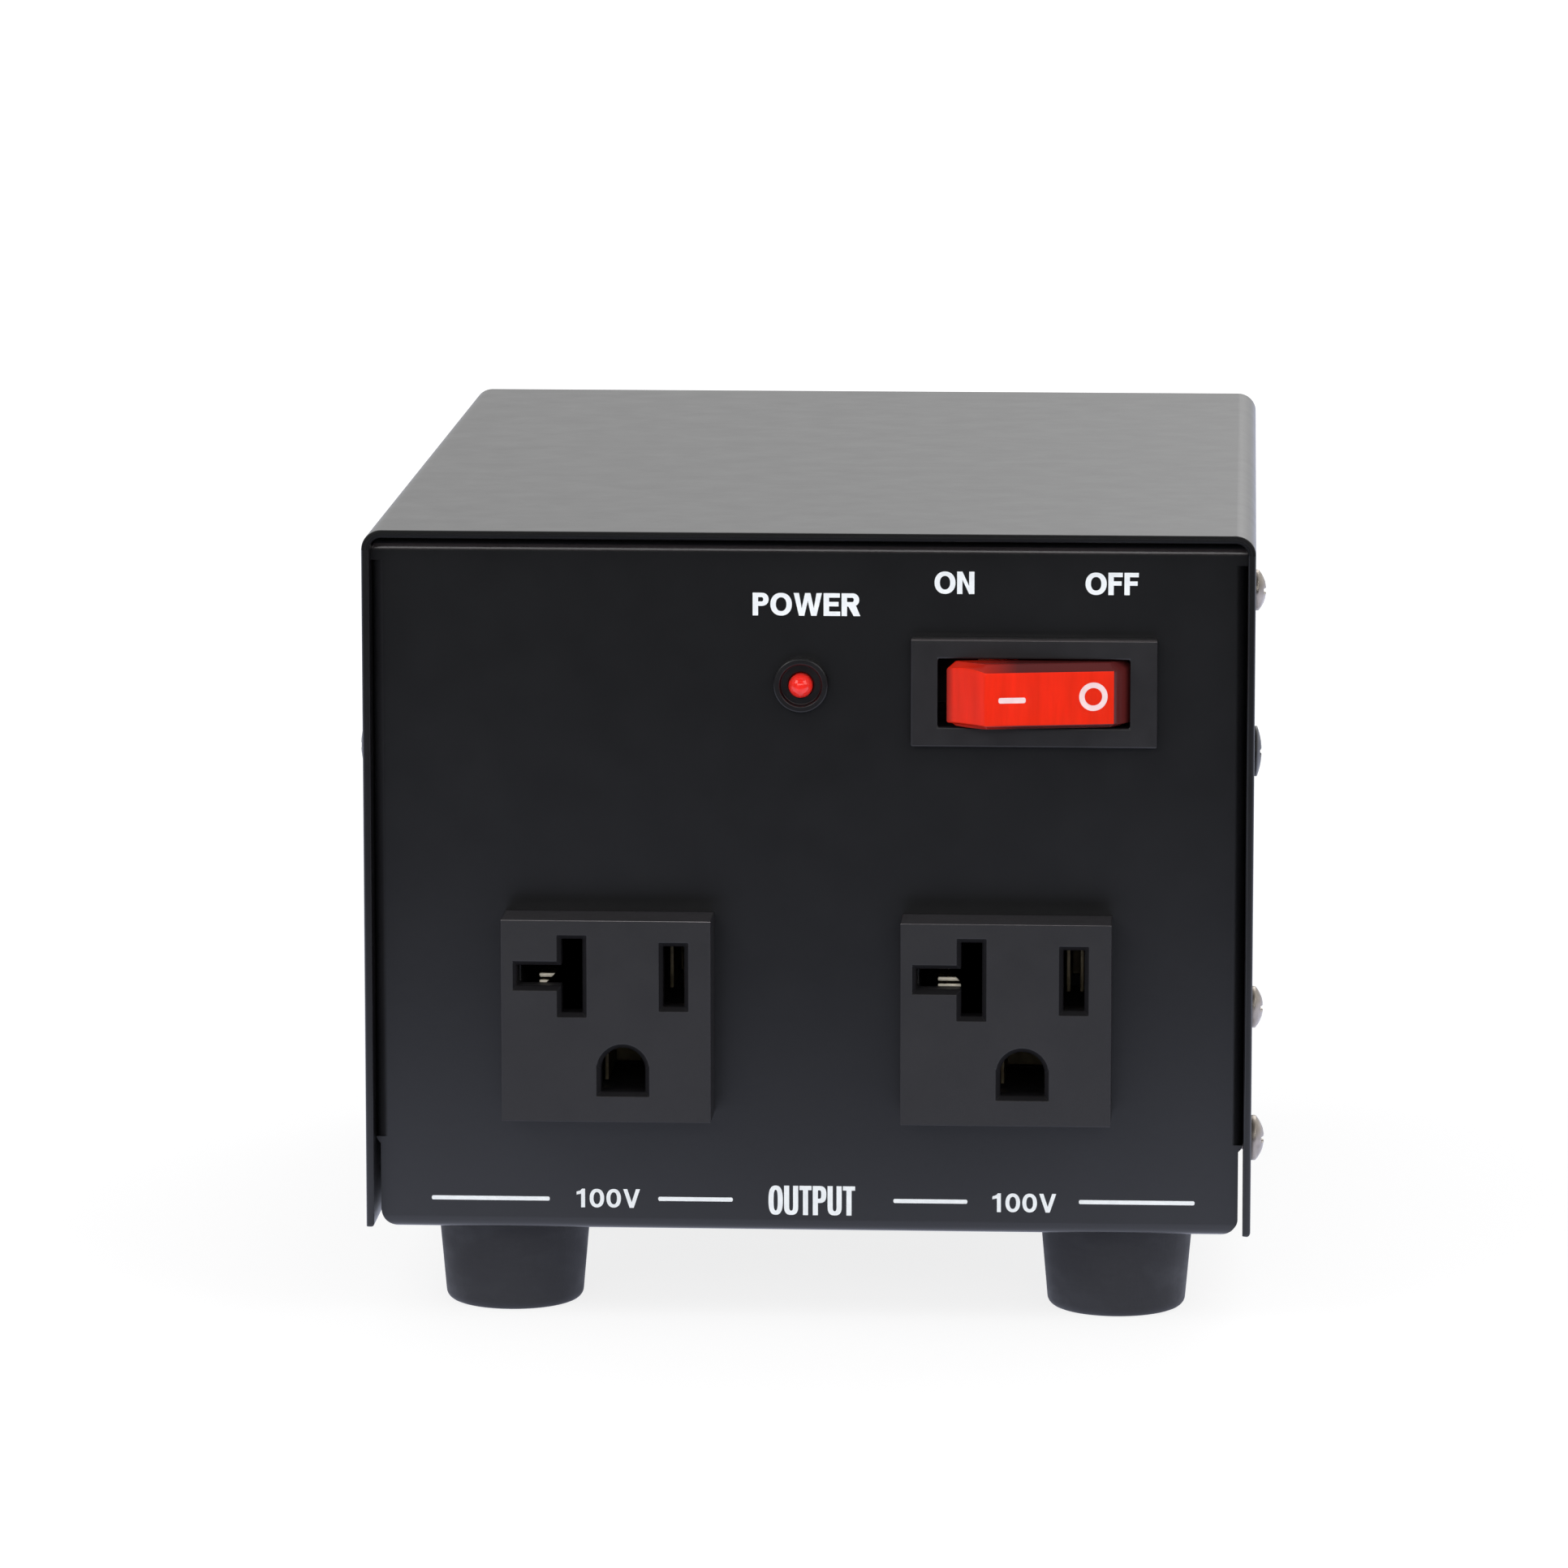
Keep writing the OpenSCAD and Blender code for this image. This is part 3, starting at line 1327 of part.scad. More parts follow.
// Mains in to fuse, fuse to switch, switch to cut-off and cut-off to winding
module line_leads() {
    cutoff_y = tape_front_y - cutoff_size[1] / 2;
    cutoff_end = cutoff_size[0] / 2;
    color([0.75, 0.12, 0.1]) in_place() {
        lead([pole_tip(1), before(pole_tip(1)), [6, 41, 12], [20, 41, 22], [36, 47, 29],
            fuse_side_tip - [0, 0, straight], fuse_side_tip]);
        lead([fuse_end_tip, before(fuse_end_tip), [42, 28.5, 54], [46.7, 29, 62], [46.7, 29, 76], [46, 25, 83.5],
            [44, 18, 84], [44, -20, 84], [41, -32, 80], [31, -41, 70], behind(switch_common_tip), switch_common_tip]);
        lead([switch_out_tip, behind(switch_out_tip), [32, -41.5, 62], [22, -38.5, 48],
            [cutoff_end + straight, cutoff_y, cutoff_z], [cutoff_end, cutoff_y, cutoff_z]]);
        lead([[-cutoff_end, cutoff_y, cutoff_z], [-cutoff_end - straight, cutoff_y, cutoff_z], [-15, -37, cutoff_z],
            [-19, -36.5, cutoff_z], [-20, tape_front_y, cutoff_z]]);
    }
}

module neutral_lead() {
    color([0.85, 0.85, 0.85]) in_place() lead([pole_tip(-1), before(pole_tip(-1)), [-11, 41, 12], [-12, 41, 24],
        [-12, tape_rear_y + straight, 30], [-12, tape_rear_y, 30]]);
}

module output_leads() {
    color([0.1, 0.1, 0.12]) in_place() {
        for (exit = [[22, 1], [-10, -1]]) lead([[exit[0], tape_front_y, 30], [exit[0], tape_front_y - straight, 30],
            behind(line_tip(exit[1])), line_tip(exit[1])]);
        for (exit = [[12, 1], [-20, -1]]) lead([[exit[0], tape_front_y, 30], [exit[0], tape_front_y - straight, 30],
            behind(neutral_tip(exit[1])), neutral_tip(exit[1])]);
    }
}

// A ring lug under the stud's upper nut, and a lead from it to the right outlet and on to the left one
module earth_leads() {
    lug_z = chassis_t + nut_h;
    barrel_y = rear_y - stud_in - lug_r;
    barrel_z = lug_z + lug_barrel_r;
    low = -lead_r - fit;
    color([0.2, 0.55, 0.2]) in_place() {
        difference() {
            union() {
                at_stud() rod_z(lug_r, lug_z, lug_z + lug_t);
                translate([stud_x, 0, barrel_z]) rod_y(lug_barrel_r, barrel_y - lug_barrel_len, barrel_y + fit);
            }
            at_stud() rod_z(stud_r + fit, 0, stud_len);
            at_stud() rod_z(nut_r + fit, lug_z + lug_t, stud_len);
        }
        lead([[stud_x, barrel_y - lug_barrel_len, barrel_z], [stud_x, barrel_y - lug_barrel_len - straight, barrel_z],
            [34, 42, 14], [46, 36, 22], [50, 28, 24], [50, -20, 24], [44, -36, 22],
            behind(ground_tip(1, -low)), ground_tip(1, -low)]);
        lead([ground_tip(1, low), behind(ground_tip(1, low)), [22, -43, 17], [-18, -43, 17],
            behind(ground_tip(-1, low)), ground_tip(-1, low)]);
    }
}

module lamp_leads() {
    tip_y = led_flange_y() + led_lead_len;
    color([0.1, 0.1, 0.12]) in_place() for (end = [-1, 1]) {
        tip = [lamp_x + end * led_lead_pitch / 2, tip_y, lamp_z];
        lead([tip, behind(tip), [end * 3, -50, 66], [end * 3.5, -40, 61],
            [end * 3.5, tape_front_y - straight, 60], [end * 3.5, tape_front_y, 60]], lamp_lead_r);
    }
}

chassis();
cover();
cover_screws();
front_screws();
foot(-foot_x, -foot_y);  // foot_front_left
foot(foot_x, -foot_y);  // foot_front_right
foot(-foot_x, foot_y);  // foot_rear_left
foot(foot_x, foot_y);  // foot_rear_right
foot_screws();
foot_nuts();
outlet_body(-1);  // outlet_left_body
outlet_body(1);  // outlet_right_body
outlet_back(-1);  // outlet_left_back
outlet_back(1);  // outlet_right_back
line_contacts();
neutral_contacts();
ground_contacts();
switch_housing();
rocker();
switch_plunger();
switch_lever();
switch_terminals();
lamp_holder();
lamp_led();
lamp_ring();
core_e_stack();
core_i_stack();
bobbin();
primary_winding();
secondary_winding();
winding_tape();
thermal_cutoff();
front_clamp();
rear_clamp();
top_straps();
core_bolts();
core_nuts();
clamp_screws();
clamp_nuts();
fuse_holder();
fuse_holder_nut();
fuse_terminals();
fuse_carrier();
fuse_cap();
fuse_glass();
fuse_end_caps();
gland_body();
gland_dome_nut();
gland_lock_nut();
gland_seal();
earth_stud();
earth_nuts();
terminal_strip();
strip_inserts();
strip_screws();
line_leads();
neutral_lead();
output_leads();
earth_leads();
lamp_leads();
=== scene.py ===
import json
import math

import bpy
from bpy.props import FloatProperty, FloatVectorProperty, PointerProperty
from bpy.types import Operator, Panel, PropertyGroup
from mathutils import Matrix, Vector


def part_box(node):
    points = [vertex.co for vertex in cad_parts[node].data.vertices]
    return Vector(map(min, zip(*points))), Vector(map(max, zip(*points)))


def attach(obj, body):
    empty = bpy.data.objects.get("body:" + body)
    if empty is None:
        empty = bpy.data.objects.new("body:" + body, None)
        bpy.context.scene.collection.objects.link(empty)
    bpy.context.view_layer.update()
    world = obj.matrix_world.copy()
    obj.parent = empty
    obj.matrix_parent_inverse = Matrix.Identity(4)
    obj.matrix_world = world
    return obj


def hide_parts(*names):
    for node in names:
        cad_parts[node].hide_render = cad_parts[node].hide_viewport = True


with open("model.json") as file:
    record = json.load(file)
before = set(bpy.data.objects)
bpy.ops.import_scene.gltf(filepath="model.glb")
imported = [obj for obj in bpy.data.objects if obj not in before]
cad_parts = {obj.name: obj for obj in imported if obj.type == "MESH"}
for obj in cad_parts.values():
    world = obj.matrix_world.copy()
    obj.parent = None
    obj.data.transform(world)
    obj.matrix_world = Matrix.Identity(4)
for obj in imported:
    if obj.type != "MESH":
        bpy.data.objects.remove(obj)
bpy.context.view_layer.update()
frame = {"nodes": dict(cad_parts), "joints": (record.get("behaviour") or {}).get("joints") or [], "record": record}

bl_info = {
    "name": "Step-down Transformer",
    "version": (1, 0, 0),
    "blender": (4, 5, 0),
    "location": "View3D > Sidebar > Transformer",
    "description": "Finishes and fine detail for a bench transformer in a steel case",
    "category": "Add Mesh",
}

MM = 0.001

# How near to a level a point must lie to count as on it
SNUG = 0.02 * MM

# How far the rocker is turned at rest, with its left end raised
ROCKER_SLOPE = math.radians(10)

# Sockets of a Mix node, for numbers and for colours
MIX_FACTOR, MIX_A, MIX_B = 0, 2, 3
MIX_COLOUR_A, MIX_COLOUR_B, MIX_COLOUR_RESULT = 6, 7, 2

# The look of plain brass
BRASS = {"colour": (0.74, 0.58, 0.30), "rough": (0.2, 0.36)}


# Selecting, editing and finishing pieces

def select_only(piece):
    if bpy.context.mode != "OBJECT":
        bpy.ops.object.mode_set(mode="OBJECT")
    bpy.ops.object.select_all(action="DESELECT")
    piece.select_set(True)
    bpy.context.view_layer.objects.active = piece


def edit(piece):
    select_only(piece)
    bpy.ops.object.mode_set(mode="EDIT")


def done():
    bpy.ops.object.mode_set(mode="OBJECT")


def settle(piece):
    """Moves a piece's place, turn and scale into its mesh."""
    select_only(piece)
    bpy.ops.object.transform_apply(location=True, rotation=True, scale=True)


def shade(piece, angle):
    """Smooth shading that keeps edges sharper than an angle in degrees."""
    select_only(piece)
    bpy.ops.object.shade_smooth_by_angle(angle=math.radians(angle))


def copy_of(node, name):
    """A merged copy of a CAD node's mesh, ready for modelling."""
    select_only(frame["nodes"][node])
    bpy.ops.object.duplicate(linked=False)
    piece = bpy.context.view_layer.objects.active
    piece.parent = None
    piece.name = name
    piece.data.name = name
    for key in list(piece.keys()):
        del piece[key]
    piece.data.materials.clear()
    edit(piece)
    bpy.ops.mesh.select_mode(type="VERT")
    bpy.ops.mesh.customdata_custom_splitnormals_clear()
    bpy.ops.mesh.select_all(action="SELECT")
    bpy.ops.mesh.remove_doubles(threshold=0.002 * MM)
    bpy.ops.mesh.dissolve_limited(angle_limit=math.radians(0.4))
    done()
    return piece


def pick(piece, kind, chosen):
    """Opens a piece for editing with only the chosen vertices, edges or faces selected."""
    edit(piece)
    bpy.ops.mesh.select_mode(type=kind)
    bpy.ops.mesh.select_all(action="DESELECT")
    done()
    mesh = piece.data
    for element in {"VERT": mesh.vertices, "EDGE": mesh.edges, "FACE": mesh.polygons}[kind]:
        element.select = chosen(element)
    bpy.ops.object.mode_set(mode="EDIT")


def even_normals(piece, smooth=50):
    """Smooth shading that keeps the flat faces flat."""
    shade(piece, smooth)
    weighted = piece.modifiers.new("Flat faces stay flat", "WEIGHTED_NORMAL")
    weighted.keep_sharp = True
    weighted.weight = 80
    bpy.ops.object.modifier_apply(modifier=weighted.name)


def round_chosen(piece, width, segments, chosen):
    """Rounds the edges that a test picks by their two ends."""
    pick(piece, "EDGE", lambda edge: chosen(*(piece.data.vertices[end].co for end in edge.vertices)))
    bpy.ops.mesh.bevel(offset=width, segments=segments, affect="EDGES", clamp_overlap=False)
    done()
    even_normals(piece)


def round_edges(piece, width, segments=2, angle=40, clamp=False, smooth=50):
    """Rounds the edges that are sharper than an angle in degrees."""
    select_only(piece)
    bevel = piece.modifiers.new("Rounded edges", "BEVEL")
    bevel.width = width
    bevel.segments = segments
    bevel.limit_method = "ANGLE"
    bevel.angle_limit = math.radians(angle)
    bevel.use_clamp_overlap = clamp
    bevel.harden_normals = False
    bpy.ops.object.modifier_apply(modifier=bevel.name)
    even_normals(piece, smooth)


def finish(piece, material, body, nodes=()):
    """Gives a piece its material and its place in the assembly."""
    if not piece.data.materials:
        piece.data.materials.append(material)
    if nodes:
        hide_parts(*nodes)
    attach(piece, body)
    return piece


def paint_faces(piece, material, chosen):
    """Gives a second material to the faces that a test picks by their middle and normal."""
    select_only(piece)
    bpy.ops.object.material_slot_add()
    piece.material_slots[piece.active_material_index].material = material
    pick(piece, "FACE", lambda face: chosen(face.center, face.normal))
    bpy.ops.object.material_slot_assign()
    done()


def body_of(node):
    for body, nodes in frame["record"]["behaviour"]["bodies"].items():
        if node in nodes:
            return body
    raise RuntimeError("no body holds " + node)


def dress(node, material, width, segments=2, angle=40, clamp=False):
    """A CAD piece with its sharp edges rounded and its finish on."""
    piece = copy_of(node, node + "_finished")
    round_edges(piece, width, segments, angle, clamp)
    return finish(piece, material, body_of(node), [node])


# Node trees

class Tree:
    """A short way to add and link the nodes of a material."""

    def __init__(self, name):
        self.material = bpy.data.materials.new(name)
        self.material.use_nodes = True
        self.nodes = self.material.node_tree.nodes
        self.links = self.material.node_tree.links
        self.shader = self.nodes["Principled BSDF"]
        self.coordinates = self.nodes.new("ShaderNodeTexCoord").outputs["Object"]
        self.normal = None

    def link(self, source, target):
        self.links.new(source, target)

    def set(self, **values):
        """Sets the shader's own sockets."""
        for name, value in values.items():
            self.shader.inputs[name.replace("_", " ").title().replace("Ior", "IOR")].default_value = value

    def stretched(self, scale):
        mapping = self.nodes.new("ShaderNodeMapping")
        mapping.inputs["Scale"].default_value = scale
        self.link(self.coordinates, mapping.inputs["Vector"])
        return mapping.outputs["Vector"]

    def along(self, axis):
        """How far along an axis each point of the surface lies."""
        split = self.nodes.new("ShaderNodeSeparateXYZ")
        self.link(self.coordinates, split.inputs[0])
        return split.outputs[axis]

    def noise(self, size, detail, rough=0.55, vector=None):
        node = self.nodes.new("ShaderNodeTexNoise")
        node.inputs["Scale"].default_value = 1 / size
        node.inputs["Detail"].default_value = detail
        node.inputs["Roughness"].default_value = rough
        self.link(vector or self.coordinates, node.inputs["Vector"])
        return node.outputs["Fac"]

    def waves(self, direction, band, distortion):
        """Light and dark bands of one width."""
        node = self.nodes.new("ShaderNodeTexWave")
        node.bands_direction = direction
        # At scale 1 the texture's sine goes through 20 radians in a metre
        node.inputs["Scale"].default_value = math.pi / 20 / band
        node.inputs["Distortion"].default_value = distortion
        self.link(self.coordinates, node.inputs["Vector"])
        return node.outputs["Fac"]

    def spread(self, value, low, high, from_low=0.3, from_high=0.7):
        """Maps one range of a value to another."""
        node = self.nodes.new("ShaderNodeMapRange")
        node.inputs["From Min"].default_value = from_low
        node.inputs["From Max"].default_value = from_high
        node.inputs["To Min"].default_value = low
        node.inputs["To Max"].default_value = high
        self.link(value, node.inputs["Value"])
        return node.outputs["Result"]

    def blend(self, value, first, second):
        node = self.nodes.new("ShaderNodeMix")
        node.data_type = "RGBA"
        for index, colour in ((MIX_COLOUR_A, first), (MIX_COLOUR_B, second)):
            if isinstance(colour, bpy.types.NodeSocket):
                self.link(colour, node.inputs[index])
            else:
                node.inputs[index].default_value = (*colour[:3], 1)
        self.link(value, node.inputs[MIX_FACTOR])
        return node.outputs[MIX_COLOUR_RESULT]

    def arithmetic(self, operation, first, second):
        node = self.nodes.new("ShaderNodeMath")
        node.operation = operation
        self.link(first, node.inputs[0])
        self.link(second, node.inputs[1])
        return node.outputs[0]

    def product(self, first, second):
        return self.arithmetic("MULTIPLY", first, second)

    def sum(self, first, second):
        return self.arithmetic("ADD", first, second)

    def bump(self, height, strength, depth):
        """Adds a relief on top of the ones before."""
        node = self.nodes.new("ShaderNodeBump")
        node.inputs["Strength"].default_value = strength
        node.inputs["Distance"].default_value = depth
        self.link(height, node.inputs["Height"])
        if self.normal:
            self.link(self.normal, node.inputs["Normal"])
        self.normal = node.outputs["Normal"]
        self.link(self.normal, self.shader.inputs["Normal"])

    def colour(self, source):
        self.link(source, self.shader.inputs["Base Color"])

    def mottle(self, size, detail, first, second):
        """Colours the surface in soft patches of two colours."""
        self.colour(self.blend(self.spread(self.noise(size, detail), 0, 1), first, second))

    def roughness(self, source):
        self.link(source, self.shader.inputs["Roughness"])

    def uneven_gloss(self, size, detail, low, high):
        """Lets the roughness drift between two values."""
        self.roughness(self.spread(self.noise(size, detail), low, high))


def tinted(colour, factor):
    return tuple(min(1.0, c * factor) for c in colour[:3])


def powder_coat(name, colour, rough=(0.315, 0.345)):
    tree = Tree(name)
    tree.mottle(0.018, 4, tinted(colour, 0.88), tinted(colour, 1.15))
    tree.set(ior=1.55)
    tree.uneven_gloss(0.006, 5, *rough)
    tree.bump(tree.noise(size=0.0011, detail=2), strength=0.10, depth=0.00006)
    tree.bump(tree.noise(size=0.00028, detail=2), strength=0.12, depth=0.00003)
    return tree.material


def moulded_plastic(name, colour, grain=0.00022, depth=0.00004, rough=(0.46, 0.58), specular=0.5):
    tree = Tree(name)
    tree.mottle(0.007, 4, tinted(colour, 0.9), tinted(colour, 1.12))
    tree.set(specular_ior_level=specular)
    tree.uneven_gloss(0.004, 5, *rough)
    tree.bump(tree.noise(size=grain, detail=3, rough=0.6), strength=0.35, depth=depth)
    return tree.material


def highlight_plastic(name, colour):
    """A smooth, glossy plastic for a moulded edge that is given a lighter colour as a painted highlight."""
    return moulded_plastic(name, colour, grain=0.0005, depth=0.00001, rough=(0.16, 0.24))


def rubber(name, colour):
    tree = Tree(name)
    smears = tree.noise(size=0.009, detail=6, rough=0.65, vector=tree.stretched((1, 1, 2.2)))
    dust = tree.spread(smears, 0, 1, from_low=0.50, from_high=0.72)
    tree.colour(tree.blend(dust, colour, tinted(colour, 1.9)))
    tree.roughness(tree.spread(smears, 0.55, 0.78))
    tree.bump(tree.noise(size=0.0004, detail=4, rough=0.6), strength=0.3, depth=0.00005)
    return tree.material


def plated_metal(name, colour, rough, metallic=1.0):
    tree = Tree(name)
    tree.mottle(0.0016, 5, tinted(colour, 0.72), tinted(colour, 1.08))
    tree.set(metallic=metallic)
    tree.uneven_gloss(0.0012, 4, *rough)
    scratches = tree.noise(size=0.0005, detail=3, rough=0.6, vector=tree.stretched((1, 1, 6)))
    tree.bump(scratches, strength=0.12, depth=0.00002)
    return tree.material


def glossy_plastic(name, colour, rough, subsurface=0.0):
    tree = Tree(name)
    tree.mottle(0.004, 3, tinted(colour, 0.9), tinted(colour, 1.08))
    smooth_moulding(tree, *rough)
    if subsurface:
        let_red_through(tree, subsurface)
    return tree.material


def smooth_moulding(tree, low, high):
    """The uneven gloss and the faint ripple of a smooth plastic face."""
    tree.uneven_gloss(0.003, 3, low, high)
    tree.bump(tree.noise(size=0.0018, detail=2), strength=0.05, depth=0.00005)


def let_red_through(tree, weight):
    """Lets light into the plastic, red light furthest."""
    tree.set(subsurface_weight=weight, subsurface_scale=1.0, subsurface_radius=(0.004, 0.0006, 0.0004))


def screen_ink(name, first, second, rough, depth=0.0):
    tree = Tree(name)
    tree.mottle(0.0012, 4, first, second)
    tree.uneven_gloss(0.0008, 4, *rough)
    if depth:
        tree.bump(tree.noise(size=0.0003, detail=3), strength=0.2, depth=depth)
    return tree.material


# Sizes and colours that a user would change

class TransformerSizes(PropertyGroup):
    sheet_edge: FloatProperty(
        name="Chassis edge radius", description="Rounding of the chassis's coated steel edges",
        default=0.22 * MM, min=0.0, unit="LENGTH", precision=5)
    cover_edge: FloatProperty(
        name="Cover edge radius", description="Rounding of the cover's outer edges",
        default=0.38 * MM, min=0.0, unit="LENGTH", precision=5)
    moulded_edge: FloatProperty(
        name="Moulded edge radius", description="Rounding of most plastic pieces",
        default=0.25 * MM, min=0.0, unit="LENGTH", precision=5)
    outlet_edge: FloatProperty(
        name="Outlet edge radius", description="Rounding of the outlets' front mouldings",
        default=0.12 * MM, min=0.0, unit="LENGTH", precision=5)
    small_edge: FloatProperty(
        name="Small moulding radius", description="Rounding of the rocker, the lamp holder and the bobbin",
        default=0.2 * MM, min=0.0, unit="LENGTH", precision=5)
    fine_edge: FloatProperty(
        name="Fine edge radius", description="Rounding of the core, its frame, the fuse and the leaves",
        default=0.15 * MM, min=0.0, unit="LENGTH", precision=5)
    metal_edge: FloatProperty(
        name="Metal edge radius", description="Rounding of the screws and other small metal pieces",
        default=0.08 * MM, min=0.0, unit="LENGTH", precision=5)
    lens_edge: FloatProperty(
        name="Lens edge radius", description="Rounding of the lamp's lens and the fuse's glass",
        default=0.05 * MM, min=0.0, unit="LENGTH", precision=5)
    seal_edge: FloatProperty(
        name="Seal edge radius", description="Rounding of the gland's rubber seal",
        default=0.1 * MM, min=0.0, unit="LENGTH", precision=5)
    foot_edge: FloatProperty(
        name="Foot edge radius", description="Rounding of the feet and the terminal strip",
        default=0.3 * MM, min=0.0, unit="LENGTH", precision=5)
    cutoff_edge: FloatProperty(
        name="Cut-off edge radius", description="Rounding of the thermal cut-off",
        default=0.4 * MM, min=0.0, unit="LENGTH", precision=5)
    ink: FloatProperty(
        name="Ink thickness", description="Thickness of the printed legends",
        default=0.03 * MM, min=0.0, unit="LENGTH", precision=5)
    lens_length: FloatProperty(
        name="Lens", description="Focal length of the camera on a 36 mm frame, in millimetres",
        default=191.0, min=50.0)


class TransformerColours(PropertyGroup):
    paint: FloatVectorProperty(
        name="Case paint", description="Colour of the powder coat",
        subtype="COLOR", size=3, min=0, max=1, default=(0.0045, 0.0045, 0.0052))
    moulding: FloatVectorProperty(
        name="Moulding", description="Colour of the outlets and the switch frame",
        subtype="COLOR", size=3, min=0, max=1, default=(0.0150, 0.0142, 0.0162))
    rubber: FloatVectorProperty(
        name="Rubber", description="Colour of the feet and the gland's seal",
        subtype="COLOR", size=3, min=0, max=1, default=(0.0155, 0.0155, 0.0185))
    ink: FloatVectorProperty(
        name="Ink", description="Colour of the printed legends",
        subtype="COLOR", size=3, min=0, max=1, default=(0.90, 0.94, 0.98))
    rocker: FloatVectorProperty(
        name="Rocker", description="Colour of the rocker",
        subtype="COLOR", size=3, min=0, max=1, default=(0.83, 0.024, 0.006))
    lens: FloatVectorProperty(
        name="Lamp lens", description="Colour of the pilot lamp's lens",
        subtype="COLOR", size=3, min=0, max=1, default=(0.94, 0.026, 0.018))
    nickel: FloatVectorProperty(
        name="Nickel", description="Colour of the nickel-plated screws",
        subtype="COLOR", size=3, min=0, max=1, default=(0.36, 0.32, 0.28))


def sizes():
    return bpy.context.scene.transformer_sizes


def colours():
    return bpy.context.scene.transformer_colours


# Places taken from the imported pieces

def panel_front():
    """Y of the front panel's face."""
    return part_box("chassis")[0].y


def rocker_pivot():
    """The middle of the axis that the rocker turns about."""
    return Vector(next(joint for joint in frame["joints"] if joint["name"] == "rocker_tilt")["pos_m"])


def rocker_turn():
    """Takes a point of an upright rocker, measured from its pivot, to its place at rest."""
    return Matrix.Translation(rocker_pivot()) @ Matrix.Rotation(ROCKER_SLOPE, 4, "Z")


# Printed plates and letters

def thicken(thickness):
    """Turns the flat piece that is open for editing into a plate that goes back from there."""
    bpy.ops.mesh.select_all(action="SELECT")
    bpy.ops.mesh.extrude_region_move(TRANSFORM_OT_translate={"value": (0, thickness, 0)})
    bpy.ops.mesh.select_all(action="SELECT")
    bpy.ops.mesh.normals_make_consistent(inside=False)
    done()


def plate(name, width, height, centre, thickness, rounding):
    """A thin upright plate of ink with rounded corners, facing the front."""
    bpy.ops.object.select_all(action="DESELECT")
    bpy.ops.mesh.primitive_plane_add(size=1, location=centre, rotation=(math.pi / 2, 0, 0))
    piece = bpy.context.view_layer.objects.active
    piece.name = name
    piece.scale = (width, height, 1)
    settle(piece)
    edit(piece)
    bpy.ops.mesh.select_all(action="SELECT")
    bpy.ops.mesh.bevel(offset=rounding, segments=5, affect="VERTICES")
    thicken(thickness)
    return piece


def ring(name, radius, width, centre, thickness):
    """A thin upright ring of ink, facing the front."""
    bpy.ops.object.select_all(action="DESELECT")
    bpy.ops.mesh.primitive_circle_add(
        vertices=48, radius=radius, fill_type="NGON", location=centre, rotation=(math.pi / 2, 0, 0))
    piece = bpy.context.view_layer.objects.active
    piece.name = name
    settle(piece)
    edit(piece)
    bpy.ops.mesh.select_all(action="SELECT")
    bpy.ops.mesh.inset(thickness=width)
    bpy.ops.mesh.delete(type="FACE")
    thicken(thickness)
    return piece


def bowl(middle, reach, start, end, squareness, steps=16):
    """Points along part of a squared-off ellipse, between two angles in degrees."""
    points = []
    for i in range(steps + 1):
        angle = math.radians(start + (end - start) * i / steps)
        across, up = math.cos(angle), math.sin(angle)
        points.append((
            middle[0] + reach[0] * math.copysign(abs(across) ** (2 / squareness), across),
            middle[1] + reach[1] * math.copysign(abs(up) ** (2 / squareness), up)))
    return points


